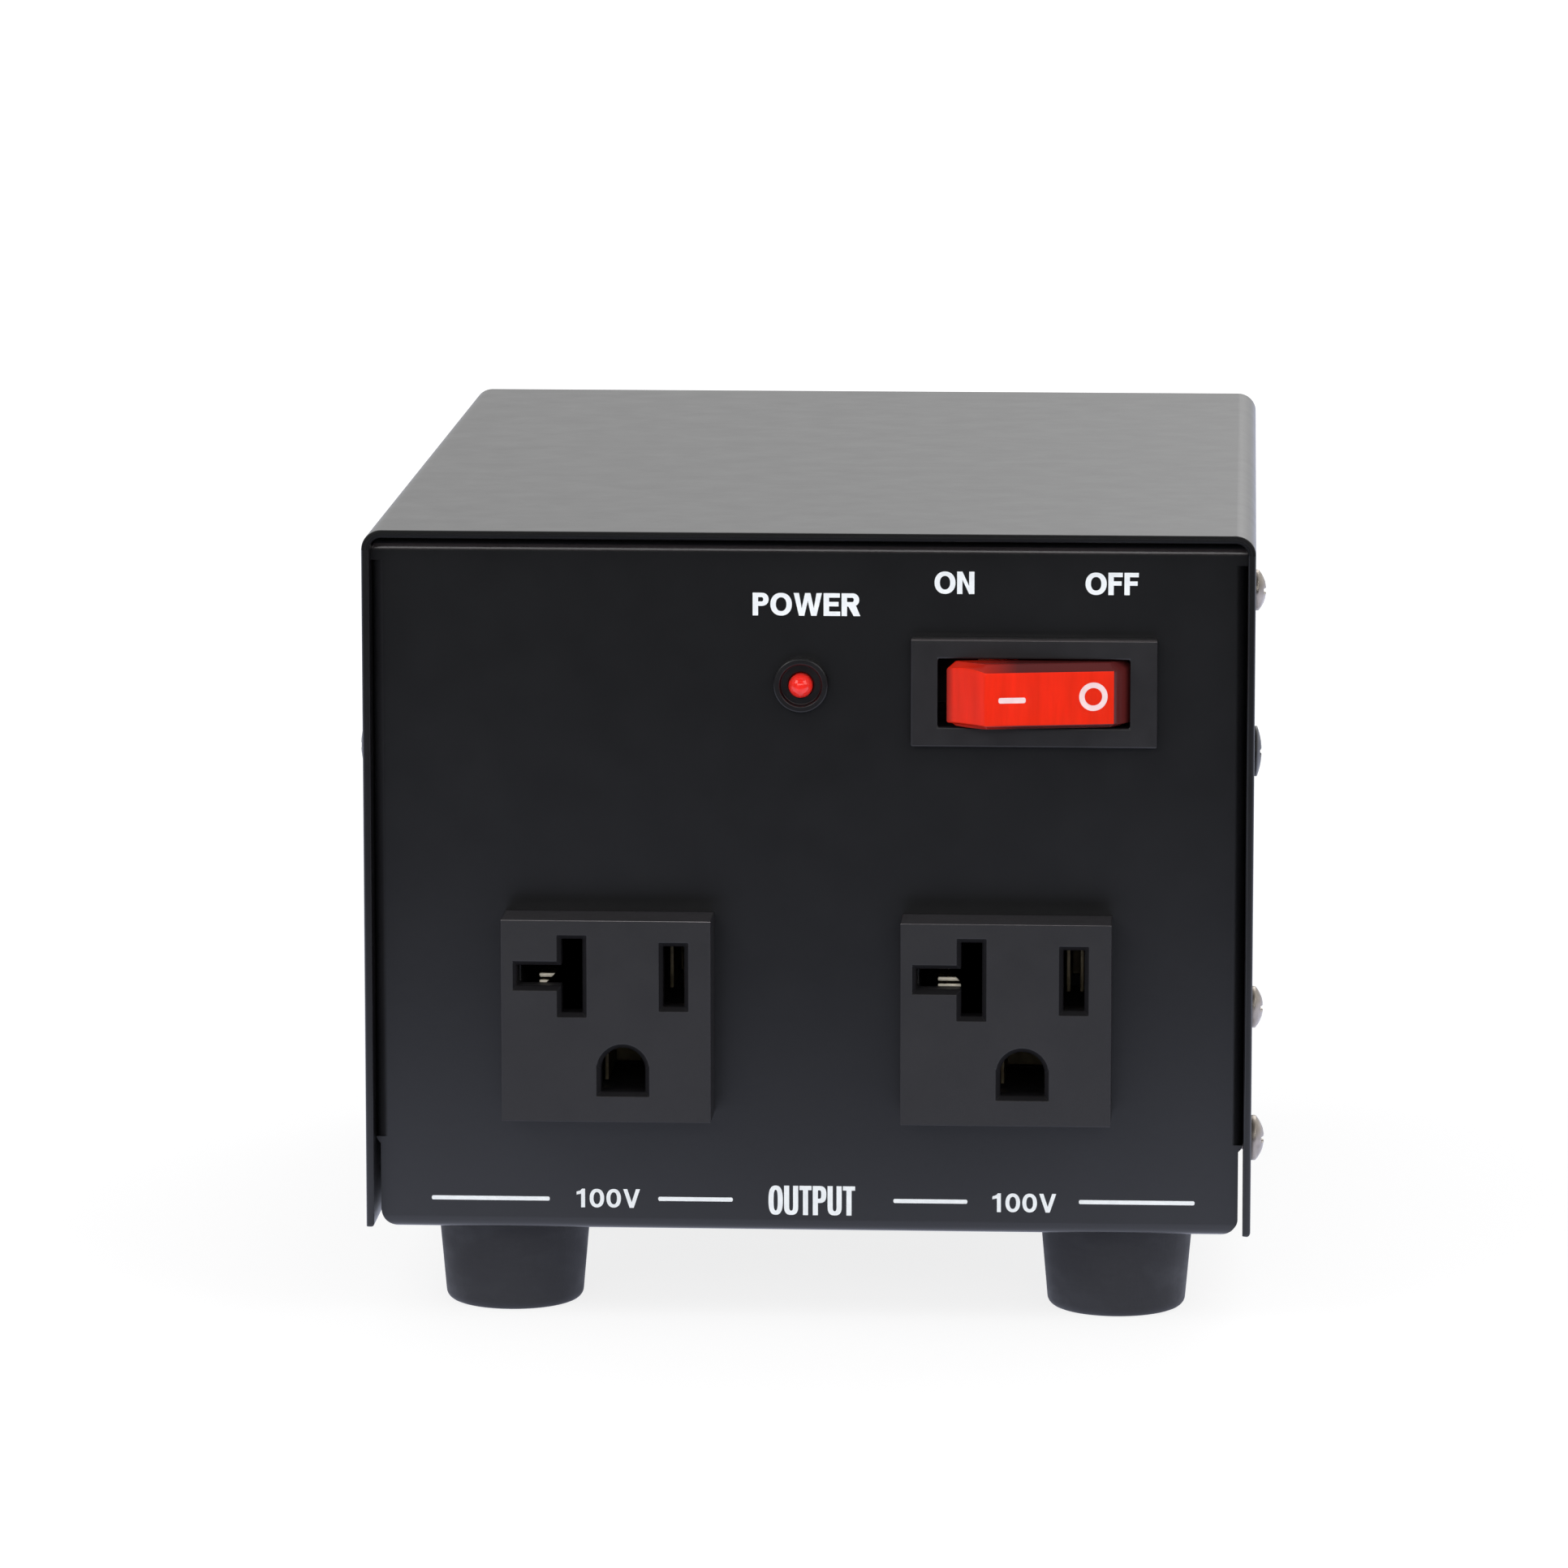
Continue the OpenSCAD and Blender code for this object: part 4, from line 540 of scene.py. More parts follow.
def letter_outlines(letter, w, stem, bar, squareness):
    """Outer edge and counter of a letter or digit that is w wide and 1 high."""
    middle = w / 2
    if letter in "O0":
        reaches = ((middle, 0.5), (middle - stem, 0.5 - bar))
        return [bowl((middle, 0.5), reach, 0, 360, squareness, 44)[:-1] for reach in reaches]
    if letter == "U":
        foot = min(0.36, middle * 1.15)
        outer = [(0, 1)] + bowl((middle, foot), (middle, foot), 180, 360, squareness)
        inner = bowl((middle, foot), (middle - stem, foot - bar), 360, 180, squareness)
        return [outer + [(w, 1), (w - stem, 1)] + inner + [(stem, 1)]]
    if letter in "PR":
        deep = 0.58
        reach = min(w * 0.5, deep * 0.52)
        turn = (w - reach, 1 - deep / 2)
        counter = bowl(turn, (max(reach - stem, 0.03), deep / 2 - bar), -90, 90, squareness)
        leg, first = [], -90
        if letter == "R":
            leg = [(stem * 1.25, 1 - deep), (w - stem * 1.02, 0), (w + 0.05, 0),
                   (w - stem * 0.62, 1 - deep + 0.05)]
            first = -52
        outer = [(0, 0), (stem, 0), (stem, 1 - deep)] + leg
        outer += bowl(turn, (reach, deep / 2), first, 90, squareness) + [(0, 1)]
        return [outer, [(stem, 1 - deep + bar)] + counter + [(stem, 1 - bar)]]
    if letter in "EF":
        arm, reach = 0.52, w * 0.92
        foot = [(w * 1.02, 0), (w * 1.02, bar), (stem, bar)] if letter == "E" else [(stem, 0)]
        return [[(0, 0)] + foot + [
            (stem, arm - bar / 2), (reach, arm - bar / 2), (reach, arm + bar / 2), (stem, arm + bar / 2),
            (stem, 1 - bar), (w, 1 - bar), (w, 1), (0, 1)]]
    if letter == "T":
        left, right = middle - stem / 2, middle + stem / 2
        return [[(left, 0), (right, 0), (right, 1 - bar), (w, 1 - bar), (w, 1),
                 (0, 1), (0, 1 - bar), (left, 1 - bar)]]
    if letter == "N":
        return [[(0, 0), (stem, 0), (stem, 0.64), (w - stem, 0), (w, 0), (w, 1),
                 (w - stem, 1), (w - stem, 0.36), (stem, 1), (0, 1)]]
    if letter == "W":
        near, slim = w * 0.19, stem * 0.98
        return [[(0, 1), (near, 0), (near + slim, 0), (middle, 0.66), (w - near - slim, 0),
                 (w - near, 0), (w, 1), (w - slim, 1), (w - near - slim / 2, 0.33),
                 (middle + slim / 2, 1), (middle - slim / 2, 1), (near + slim / 2, 0.33), (slim, 1)]]
    if letter == "V":
        half = stem * 0.52
        return [[(0, 1), (middle - half, 0), (middle + half, 0), (w, 1), (w - 2 * half, 1),
                 (middle, 0.3), (2 * half, 1)]]
    if letter == "1":
        return [[(w - stem, 0), (w, 0), (w, 1), (w - stem * 0.75, 1), (w - stem * 1.2, 0.90),
                 (0, 0.84), (0, 0.68), (w - stem, 0.73)]]
    raise RuntimeError("no outline for " + letter)


# Letter styles: stem, bar, squareness, gap, and the widths of the letters, all for a height of 1
BOLD = (0.235, 0.195, 2.15, 0.075,
        {"O": 0.93, "N": 0.77, "F": 0.63, "P": 0.69, "W": 1.22, "E": 0.70, "R": 0.76})
WIDE = (0.205, 0.175, 2.2, 0.12, {"1": 0.44, "0": 0.76, "V": 0.88})
CONDENSED = (0.185, 0.145, 2.6, 0.045, {"O": 0.52, "U": 0.51, "T": 0.44, "P": 0.49})


def lettering(text, name, centre, width, height, style):
    """One printed word, drawn to an exact width and height."""
    stem, bar, squareness, gap, widths = style
    drawing = bpy.data.curves.new(name, "CURVE")
    drawing.dimensions = "2D"
    drawing.fill_mode = "BOTH"
    # Any thickness will do here, because the whole word is scaled to its size below
    drawing.extrude = 0.01
    left = 0.0
    for letter in text:
        for outline in letter_outlines(letter, widths[letter], stem, bar, squareness):
            spline = drawing.splines.new("POLY")
            spline.points.add(len(outline) - 1)
            spline.use_cyclic_u = True
            for point, (x, y) in zip(spline.points, outline):
                point.co = (left + x, y, 0, 1)
        # A 1 stands twice as far from what follows it
        left += widths[letter] + (2 * gap if letter == "1" else gap)
    word = bpy.data.objects.new(name, drawing)
    bpy.context.scene.collection.objects.link(word)
    select_only(word)
    bpy.ops.object.convert(target="MESH")
    word = bpy.context.view_layer.objects.active
    points = [v.co for v in word.data.vertices]
    low = Vector([min(p[i] for p in points) for i in range(3)])
    high = Vector([max(p[i] for p in points) for i in range(3)])
    size = high - low
    scale = Vector((width / size.x, height / size.y, sizes().ink / size.z))
    place = Matrix.Translation(centre) @ Matrix.Rotation(math.pi / 2, 4, "X")
    word.matrix_world = place @ Matrix.Diagonal((*scale, 1)) @ Matrix.Translation(-(low + high) / 2)
    settle(word)
    return word


# The camera's place in metres and its turn in degrees, fitted to the photograph's edges
CAMERA_PLACE = (0.0538, -1.1019, 0.2360)
CAMERA_TURN = (80.768, 0.014, 3.18)

# The lamps' names, places, widths and heights in metres, and power in watts
LAMPS = (
    ("low_front_lamp", (0.0, -1.55, 0.62), 1.7, 0.34, 5.0),
    ("front_left_lamp", (-1.0, -1.0, 1.2), 0.9, 0.9, 8.0),
    ("front_right_lamp", (1.1, -0.9, 1.0), 0.9, 0.9, 6.0),
    ("rear_lamp", (0.5, 1.4, 1.2), 1.0, 1.0, 9.0),
)


class TRANSFORMER_OT_stage(Operator):
    """Camera, floor, backdrop and soft studio lamps"""
    bl_idname = "transformer.stage"
    bl_label = "Stage"

    def execute(self, context):
        self.camera(context)
        self.world(context)
        self.floor()
        self.lamps()
        return {"FINISHED"}

    def camera(self, context):
        camera = bpy.data.cameras.new("camera")
        camera.lens = sizes().lens_length
        camera.sensor_width = 36
        camera.clip_end = 50
        viewer = bpy.data.objects.new("camera", camera)
        context.scene.collection.objects.link(viewer)
        viewer.location = CAMERA_PLACE
        viewer.rotation_euler = [math.radians(angle) for angle in CAMERA_TURN]
        context.scene.camera = viewer
        context.scene.view_settings.view_transform = "Standard"

    def world(self, context):
        world = bpy.data.worlds.new("studio")
        context.scene.world = world
        world.use_nodes = True
        nodes, links = world.node_tree.nodes, world.node_tree.links
        background = nodes["Background"]
        path = nodes.new("ShaderNodeLightPath")
        direction = nodes.new("ShaderNodeTexCoord")
        split = nodes.new("ShaderNodeSeparateXYZ")
        links.new(direction.outputs["Generated"], split.inputs[0])
        # Reflections meet a white studio behind the object and a darker one in front of it
        depth = nodes.new("ShaderNodeMapRange")
        depth.interpolation_type = "SMOOTHSTEP"
        for socket, value in (("From Min", -0.55), ("From Max", 0.35), ("To Min", 0.035), ("To Max", 0.9)):
            depth.inputs[socket].default_value = value
        links.new(split.outputs["Y"], depth.inputs["Value"])
        mirrored = nodes.new("ShaderNodeMath")
        mirrored.operation = "ADD"
        mirrored.use_clamp = True
        links.new(path.outputs["Is Glossy Ray"], mirrored.inputs[0])
        links.new(path.outputs["Is Transmission Ray"], mirrored.inputs[1])
        # Light that falls on dull surfaces comes evenly from all around
        soft = nodes.new("ShaderNodeMix")
        soft.inputs[MIX_A].default_value = 0.55
        links.new(mirrored.outputs[0], soft.inputs[MIX_FACTOR])
        links.new(depth.outputs["Result"], soft.inputs[MIX_B])
        seen = nodes.new("ShaderNodeMix")
        seen.inputs[MIX_B].default_value = 1.0
        links.new(path.outputs["Is Camera Ray"], seen.inputs[MIX_FACTOR])
        links.new(soft.outputs[0], seen.inputs[MIX_A])
        links.new(seen.outputs[0], background.inputs["Strength"])
        background.inputs["Color"].default_value = (1, 1, 1, 1)

    def floor(self):
        bpy.ops.object.select_all(action="DESELECT")
        bpy.ops.mesh.primitive_plane_add(size=16, location=(0, 0, 0))
        floor = bpy.context.view_layer.objects.active
        floor.name = "floor"
        tree = Tree("white table")
        tree.set(roughness=0.9, base_color=(0.82, 0.82, 0.83, 1))
        nodes = tree.nodes
        # Mirrored in the panel, the table is bright close to the object and the room in front of it dark
        away = tree.along("Y")
        aside = nodes.new("ShaderNodeMath")
        aside.operation = "ABSOLUTE"
        tree.link(tree.along("X"), aside.inputs[0])
        shift = tree.spread(aside.outputs[0], -0.045, 0.0, from_low=0.005, from_high=0.06)
        near = tree.spread(tree.sum(away, shift), 0.0, 1.26, from_low=-0.38, from_high=-0.17)
        far = tree.spread(away, 0.17, 0.0, from_low=-0.86, from_high=-0.64)
        wide = tree.spread(aside.outputs[0], 0.98, 1.2, from_low=0.015, from_high=0.065)
        glow = nodes.new("ShaderNodeEmission")
        glow.inputs["Color"].default_value = (0.78, 0.82, 1.0, 1)
        tree.link(tree.sum(tree.product(near, wide), far), glow.inputs["Strength"])
        # Seen by the camera, the table keeps a faint shadow and turns to plain white further off
        reach = nodes.new("ShaderNodeVectorMath")
        reach.operation = "LENGTH"
        tree.link(tree.coordinates, reach.inputs[0])
        whiteness = tree.spread(reach.outputs["Value"], 0.72, 1.0, from_low=0.10, from_high=0.45)
        plain = nodes.new("ShaderNodeEmission")
        plain.inputs["Strength"].default_value = 1.15
        shader = tree.shader.outputs[0]
        path = nodes.new("ShaderNodeLightPath")
        seen = self.mixed(tree, whiteness, shader, plain.outputs[0])
        mirrored = self.mixed(tree, path.outputs["Is Glossy Ray"], shader, glow.outputs[0])
        final = self.mixed(tree, path.outputs["Is Camera Ray"], mirrored, seen)
        tree.link(final, nodes["Material Output"].inputs["Surface"])
        floor.data.materials.append(tree.material)

    def mixed(self, tree, share, first, second):
        """A mix of two shaders, the second by its share."""
        node = tree.nodes.new("ShaderNodeMixShader")
        for socket, source in zip(node.inputs, (share, first, second)):
            tree.link(source, socket)
        return node.outputs[0]

    def lamps(self):
        aim = Vector((0, -0.06, 0.08))
        for name, place, width, height, power in LAMPS:
            bpy.ops.object.select_all(action="DESELECT")
            bpy.ops.object.light_add(type="AREA", location=place)
            lamp = bpy.context.view_layer.objects.active
            lamp.name = name
            lamp.data.shape = "RECTANGLE"
            lamp.data.size = width
            lamp.data.size_y = height
            lamp.data.energy = power
            lamp.rotation_euler = (aim - Vector(place)).to_track_quat("-Z", "Y").to_euler()


class TRANSFORMER_OT_case(Operator):
    """Cover and chassis in satin black powder coat"""
    bl_idname = "transformer.case"
    bl_label = "Case"

    def execute(self, context):
        paint = powder_coat("satin black powder coat", colours().paint)
        self.cover(paint)
        self.chassis(paint)
        return {"FINISHED"}

    def cover(self, paint):
        """The cover, its outline rounded, with painted shade on the roof's front edge: a darker paint that barely
        reflects.
        """
        low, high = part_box("cover")
        outline = ((1, low.y), (1, high.y), (2, low.z))
        cover = copy_of("cover", "cover_finished")
        round_chosen(cover, sizes().cover_edge, 3, lambda start, end: any(
            abs(start[axis] - level) < SNUG and abs(end[axis] - level) < SNUG for axis, level in outline))
        finish(cover, paint, "case", ["cover"])
        # Painted shade: the roof's front edge gets a darker copy of the paint that barely reflects.
        roof_edge_shade = moulded_plastic("paint darkened as painted shade on the roof edge", tinted(colours().paint, 0.9),
                               grain=0.0003, depth=0.00002, rough=(0.5, 0.6), specular=0.2)
        edge_back, roof_bottom = low.y + 0.4 * MM, high.z - 2.5 * MM
        paint_faces(cover, roof_edge_shade, lambda middle, normal: (
            middle.y < edge_back and normal.y < -0.6 and middle.z > roof_bottom))

    def chassis(self, paint):
        """The chassis, with a painted highlight along its upper front bend and painted light on the left side
        bend.
        """
        low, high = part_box("chassis")
        chassis = dress("chassis", paint, sizes().sheet_edge, clamp=True)
        # Painted highlight: a lighter, glossier coat on the upper front bend stands in for the line of light it
        # catches.
        bend_highlight_coat = powder_coat("powder coat with a painted highlight on the bend", (0.030, 0.025, 0.027), (0.15, 0.20))
        bend_bottom = high.z - 2.2 * MM
        paint_faces(chassis, bend_highlight_coat, lambda middle, normal: (
            middle.z > bend_bottom and middle.y < 0 and normal.y < -0.8 and 0.10 < normal.z < 0.52))
        # Painted light: the left side bends get a lighter copy of the coat, as if catching light from the left.
        lighter = powder_coat("powder coat with painted light on the left side bends", tinted(colours().paint, 3.5))
        bend_back, bend_right = low.y + 2.5 * MM, low.x + 4.5 * MM
        paint_faces(chassis, lighter, lambda middle, normal: (
            middle.y < bend_back and middle.x < bend_right and -0.98 < normal.x < -0.2 and normal.y < -0.15))


class TRANSFORMER_OT_legends(Operator):
    """White printed words and lines on the front panel"""
    bl_idname = "transformer.legends"
    bl_label = "Legends"

    def execute(self, context):
        white, thick = colours().ink, sizes().ink
        ink = screen_ink("white screen ink", tinted(white, 0.93), tinted(white, 1.03), (0.4, 0.6), 0.00002)
        # Places and sizes in millimetres
        switch_row, lamp_row, outlet_row = 95.05, 92.2, 16.55
        words = (
            ("ON", "legend_on", 18.15, switch_row, 4.95, 2.8, BOLD),
            ("OFF", "legend_off", 37.7, switch_row, 6.6, 2.8, BOLD),
            ("POWER", "legend_power", -0.24, lamp_row, 13.4, 2.85, BOLD),
            ("100V", "legend_volts_left", -25.2, outlet_row, 8.0, 2.4, WIDE),
            ("100V", "legend_volts_right", 27.15, outlet_row, 8.0, 2.4, WIDE),
            ("OUTPUT", "legend_output", 0.44, outlet_row, 10.9, 3.75, CONDENSED),
        )
        for text, name, x, z, width, height, style in words:
            centre = Vector((x * MM, panel_front() - thick / 2, z * MM))
            finish(lettering(text, name, centre, width * MM, height * MM, style), ink, "case")
        lines = (
            ("legend_line_1", -47.5, -32.6, outlet_row - 0.13),
            ("legend_line_2", -18.9, -9.5, outlet_row),
            ("legend_line_3", 10.7, 20.0, outlet_row + 0.07),
            ("legend_line_4", 34.0, 48.5, outlet_row + 0.2),
        )
        for name, left, right, z in lines:
            centre = Vector(((left + right) / 2 * MM, panel_front() - thick, z * MM))
            line = plate(name, width=(right - left) * MM, height=0.52 * MM, centre=centre,
                         thickness=thick, rounding=0.2 * MM)
            finish(line, ink, "case")
        return {"FINISHED"}


def paint_top_edge_highlight(piece, node, material, steepest):
    """Gives the rounded edge along the top of a moulding's front a lighter material, as a painted highlight."""
    low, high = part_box(node)
    edge_back, edge_bottom = low.y + 0.3 * MM, high.z - 0.3 * MM
    paint_faces(piece, material, lambda at, normal: (
        at.y < edge_back and at.z > edge_bottom and 0.1 < normal.z < steepest))


class TRANSFORMER_OT_outlets(Operator):
    """Outlet mouldings with grained faces, and the brass contacts inside them"""
    bl_idname = "transformer.outlets"
    bl_label = "Outlets"

    def execute(self, context):
        moulding = colours().moulding
        plastic = moulded_plastic("grained black plastic", tinted(moulding, 0.9))
        shaded = moulded_plastic("shaded slot rims", tinted(moulding, 0.5), specular=0.1)
        # Painted highlight: a much lighter, glossier plastic along the outlet's top front edge.
        edge_highlight_paint = highlight_plastic("outlet edge with a painted highlight", (0.29, 0.27, 0.278))
        # Painted light: a much lighter copy of the plastic on the top sides, which face the light.
        upper = moulded_plastic("top sides with painted light", tinted(moulding, 1.9))
        for side in ("left", "right"):
            self.body("outlet_" + side + "_body", plastic, shaded, edge_highlight_paint, upper)
            dress("outlet_" + side + "_back", plastic, sizes().moulded_edge)
        self.contacts()
        return {"FINISHED"}

    def body(self, node, plastic, shaded, edge_highlight_paint, upper):
        """An outlet's body, with painted shade around its slots, and painted light and a painted highlight along
        its top.
        """
        outlet = dress(node, plastic, sizes().outlet_edge)
        low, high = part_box(node)
        middle = (low + high) / 2
        slots_back, slots_reach, top = low.y + 2 * MM, 11.6 * MM, high.z - 0.1 * MM
        paint_faces(outlet, shaded, lambda at, normal: (
            low.y + SNUG < at.y < slots_back and normal.y > -0.95
            and abs(at.x - middle.x) < slots_reach and abs(at.z - middle.z) < slots_reach))
        paint_top_edge_highlight(outlet, node, edge_highlight_paint, steepest=0.95)
        paint_faces(outlet, upper, lambda at, normal: at.z > top and normal.z > 0.97)

    def contacts(self):
        """Line and ground contacts in brass darkened as painted shade inside their slots, and spring leaves in the
        T slots in a slightly lighter brass with painted highlights on their front edges.
        """
        # Painted shade: the line and ground contacts get a much darker brass, for the shade deep in their slots.
        slot_shade_brass = plated_metal("brass darkened as painted shade", (0.34, 0.28, 0.17), (0.34, 0.5))
        dress("line_contacts", slot_shade_brass, sizes().metal_edge)
        dress("ground_contacts", slot_shade_brass, sizes().metal_edge)
        # Painted light: the spring leaves get a brass a little lighter than plain brass.
        bright = plated_metal("bright brass", (0.78, 0.62, 0.33), (0.18, 0.34))
        leaves = dress("neutral_contacts", bright, sizes().fine_edge)
        # Painted highlight: the leaves' front edges get a pale, barely metallic brass that stays bright, standing
        # in for their glints.
        leaf_edge_glint = plated_metal("leaf edges with a painted highlight", (0.86, 0.80, 0.66), (0.38, 0.5), metallic=0.15)
        ends_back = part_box("neutral_contacts")[0].y + 0.25 * MM
        paint_faces(leaves, leaf_edge_glint, lambda at, normal: at.y < ends_back and normal.y < -0.3)


class TRANSFORMER_OT_switch(Operator):
    """Rocker switch: frame, red rocker with its two marks, plunger, lever and terminals"""
    bl_idname = "transformer.switch"
    bl_label = "Switch"

    def execute(self, context):
        satin = moulded_plastic("satin switch plastic", colours().moulding,
                                grain=0.0004, depth=0.00002, rough=(0.34, 0.44))
        # Painted highlight: a lighter, glossier plastic along the switch frame's top front edge.
        edge_highlight_paint = highlight_plastic("frame edge with a painted highlight", (0.045, 0.040, 0.042))
        brass = plated_metal("switch brass", **BRASS)
        steel = plated_metal("spring steel", (0.6, 0.6, 0.6), (0.2, 0.35))
        housing = dress("switch_housing", satin, sizes().moulded_edge)
        paint_top_edge_highlight(housing, "switch_housing", edge_highlight_paint, steepest=0.9)
        self.rocker()
        dress("switch_plunger", steel, sizes().metal_edge)
        dress("switch_lever", brass, sizes().metal_edge)
        dress("switch_terminals", brass, sizes().metal_edge)
        self.marks()
        return {"FINISHED"}

    def rocker(self):
        """The rocker, with a steeper chamfer below and a flat slope at its raised end."""
        piece = copy_of("rocker", "rocker_finished")
        chamfer, drop = rocker_pivot().z - 3.1 * MM, 0.6 * MM
        pick(piece, "VERT", lambda vertex: abs(vertex.co.z - chamfer) < 0.05 * MM)
        bpy.ops.transform.translate(value=(0, 0, -drop))
        # The slope goes from a crease beside the face to the raised end
        crease = rocker_turn() @ Vector((-8.08 * MM, -11.54 * MM, 0))
        end = rocker_turn() @ Vector((-12.28 * MM, -6.92 * MM, 0))
        along = (end - crease).normalized()
        bpy.ops.mesh.select_all(action="SELECT")
        bpy.ops.mesh.bisect(plane_co=crease, plane_no=(-along.y, along.x, 0), use_fill=True,
                            clear_outer=True, clear_inner=False)
        done()
        round_edges(piece, sizes().small_edge, angle=20, smooth=13)
        finish(piece, self.red(), "rocker", ["rocker"])
        # Painted shade: the rocker's upper and right faces get a darker red.
        paint_faces(piece, self.shade_painted_red(), lambda middle, normal: abs(normal.z) > 0.3 or normal.x > 0.55)

    def red(self):
        """Bright translucent red with painted shade, near black, at the far end of the raised side."""
        tree = Tree("translucent red")
        fibres = tree.noise(size=0.002, detail=4, rough=0.6, vector=tree.stretched((1, 1, 0.12)))
        streaks = tree.spread(fibres, 0, 1)
        bright = tree.blend(streaks, tinted(colours().rocker, 0.9), tinted(colours().rocker, 1.1))
        # Painted shade: towards the far end of the raised side the colour turns near black.
        left, right = rocker_pivot().x - 11.2 * MM, rocker_pivot().x - 9.9 * MM
        end = tree.spread(tree.along("X"), 0, 1, from_low=left, from_high=right)
        tree.colour(tree.blend(end, (0.10, 0.004, 0.003), bright))
        tree.set(specular_ior_level=0.15)
        smooth_moulding(tree, 0.16, 0.26)
        let_red_through(tree, 0.35)
        return tree.material

    def shade_painted_red(self):
        """The rocker's upper and right faces in a darker red that fades to near black towards the right, as
        painted shade.
        """
        tree = Tree("translucent red with painted shade")
        left, right = rocker_pivot().x - 8.6 * MM, rocker_pivot().x - 1.9 * MM
        fade = tree.spread(tree.along("X"), 0, 1, from_low=left, from_high=right)
        tree.colour(tree.blend(fade, tinted(colours().rocker, 0.7), (0.10, 0.015, 0.015)))
        tree.set(specular_ior_level=0.25)
        smooth_moulding(tree, 0.14, 0.24)
        return tree.material

    def marks(self):
        """The dash and the ring, printed on the rocker's face."""
        ink = screen_ink("pale pink ink", (0.86, 0.62, 0.64), (0.95, 0.72, 0.74), (0.3, 0.45))
        thick = sizes().ink
        face = -11.55 * MM - thick
        dash = plate("rocker_dash", width=3.4 * MM, height=0.7 * MM, centre=(-4.67 * MM, face, -0.35 * MM),
                     thickness=thick, rounding=0.25 * MM)
        circle = ring("rocker_ring", radius=1.78 * MM, width=0.68 * MM, centre=(5.5 * MM, face, -0.05 * MM),
                      thickness=thick)
        for mark in (dash, circle):
            mark.matrix_world = rocker_turn()
            settle(mark)
            finish(mark, ink, "rocker")


class TRANSFORMER_OT_lamp(Operator):
    """Pilot lamp: red lens, black holder and its rear ring"""
    bl_idname = "transformer.lamp"
    bl_label = "Pilot lamp"

    def execute(self, context):
        holder = moulded_plastic("lamp holder plastic", tinted(colours().moulding, 0.6),
                                 grain=0.0006, depth=0.00001, rough=(0.25, 0.35))
        lens = glossy_plastic("red epoxy lens", colours().lens, (0.05, 0.10), subsurface=0.5)
        dress("lamp_holder", holder, sizes().small_edge, segments=3)
        dress("lamp_ring", holder, sizes().moulded_edge)
        dress("lamp_led", lens, sizes().lens_edge)
        return {"FINISHED"}


class TRANSFORMER_OT_screws(Operator):
    """Nickel and black screws of the cover, and the plain fasteners inside"""
    bl_idname = "transformer.screws"
    bl_label = "Screws"

    def execute(self, context):
        edge = sizes().metal_edge
        nickel = plated_metal("warm nickel plate", colours().nickel, (0.28, 0.46))
        dress("cover_screws", nickel, edge, angle=30)
        blackened = moulded_plastic("black oxide", (0.012, 0.012, 0.013),
                                    grain=0.0002, depth=0.00002, rough=(0.35, 0.5))
        dress("front_screws", blackened, edge, angle=30)
        zinc = plated_metal("bright zinc plate", (0.62, 0.63, 0.64), (0.22, 0.4))
        for node in ("foot_screws", "foot_nuts", "core_bolts", "core_nuts", "clamp_screws",
                     "clamp_nuts", "earth_stud", "earth_nuts", "strip_screws"):
            dress(node, zinc, edge)
        return {"FINISHED"}


class TRANSFORMER_OT_feet(Operator):
    """Four tapered rubber feet"""
    bl_idname = "transformer.feet"
    bl_label = "Feet"

    def execute(self, context):
        material = rubber("black rubber", colours().rubber)
        for place in ("front_left", "front_right", "rear_left", "rear_right"):
            dress("foot_" + place, material, sizes().foot_edge, segments=3)
        return {"FINISHED"}


class TRANSFORMER_OT_rear(Operator):
    """Fuse holder with its cap and cartridge, and the cord gland"""
    bl_idname = "transformer.rear"
    bl_label = "Rear fittings"

    def execute(self, context):
        moulding = colours().moulding
        phenolic = moulded_plastic("black phenolic", tinted(moulding, 0.7),
                                   grain=0.0005, depth=0.00001, rough=(0.25, 0.38))
        nylon = moulded_plastic("black nylon", tinted(moulding, 0.8),
                                grain=0.0004, depth=0.00002, rough=(0.38, 0.5))
        brass = plated_metal("fuse brass", **BRASS)
        nickel = plated_metal("fuse nickel", (0.66, 0.64, 0.60), (0.12, 0.24))
        for node in ("fuse_holder", "fuse_holder_nut", "fuse_cap"):
            dress(node, phenolic, sizes().fine_edge)
        for node in ("gland_body", "gland_dome_nut", "gland_lock_nut"):
            dress(node, nylon, sizes().moulded_edge)
        dress("gland_seal", rubber("gland rubber", colours().rubber), sizes().seal_edge)
        dress("fuse_terminals", brass, sizes().metal_edge)
        dress("fuse_carrier", brass, sizes().metal_edge)
        dress("fuse_end_caps", nickel, sizes().fine_edge)
        dress("fuse_glass", self.glass(), sizes().lens_edge)
        return {"FINISHED"}

    def glass(self):
        tree = Tree("fuse glass")
        tree.set(transmission_weight=1.0, ior=1.47, base_color=(0.93, 0.97, 0.96, 1))
        tree.uneven_gloss(0.003, 3, 0.01, 0.05)
        tree.bump(tree.noise(size=0.004, detail=2), strength=0.04, depth=0.00004)
        return tree.material


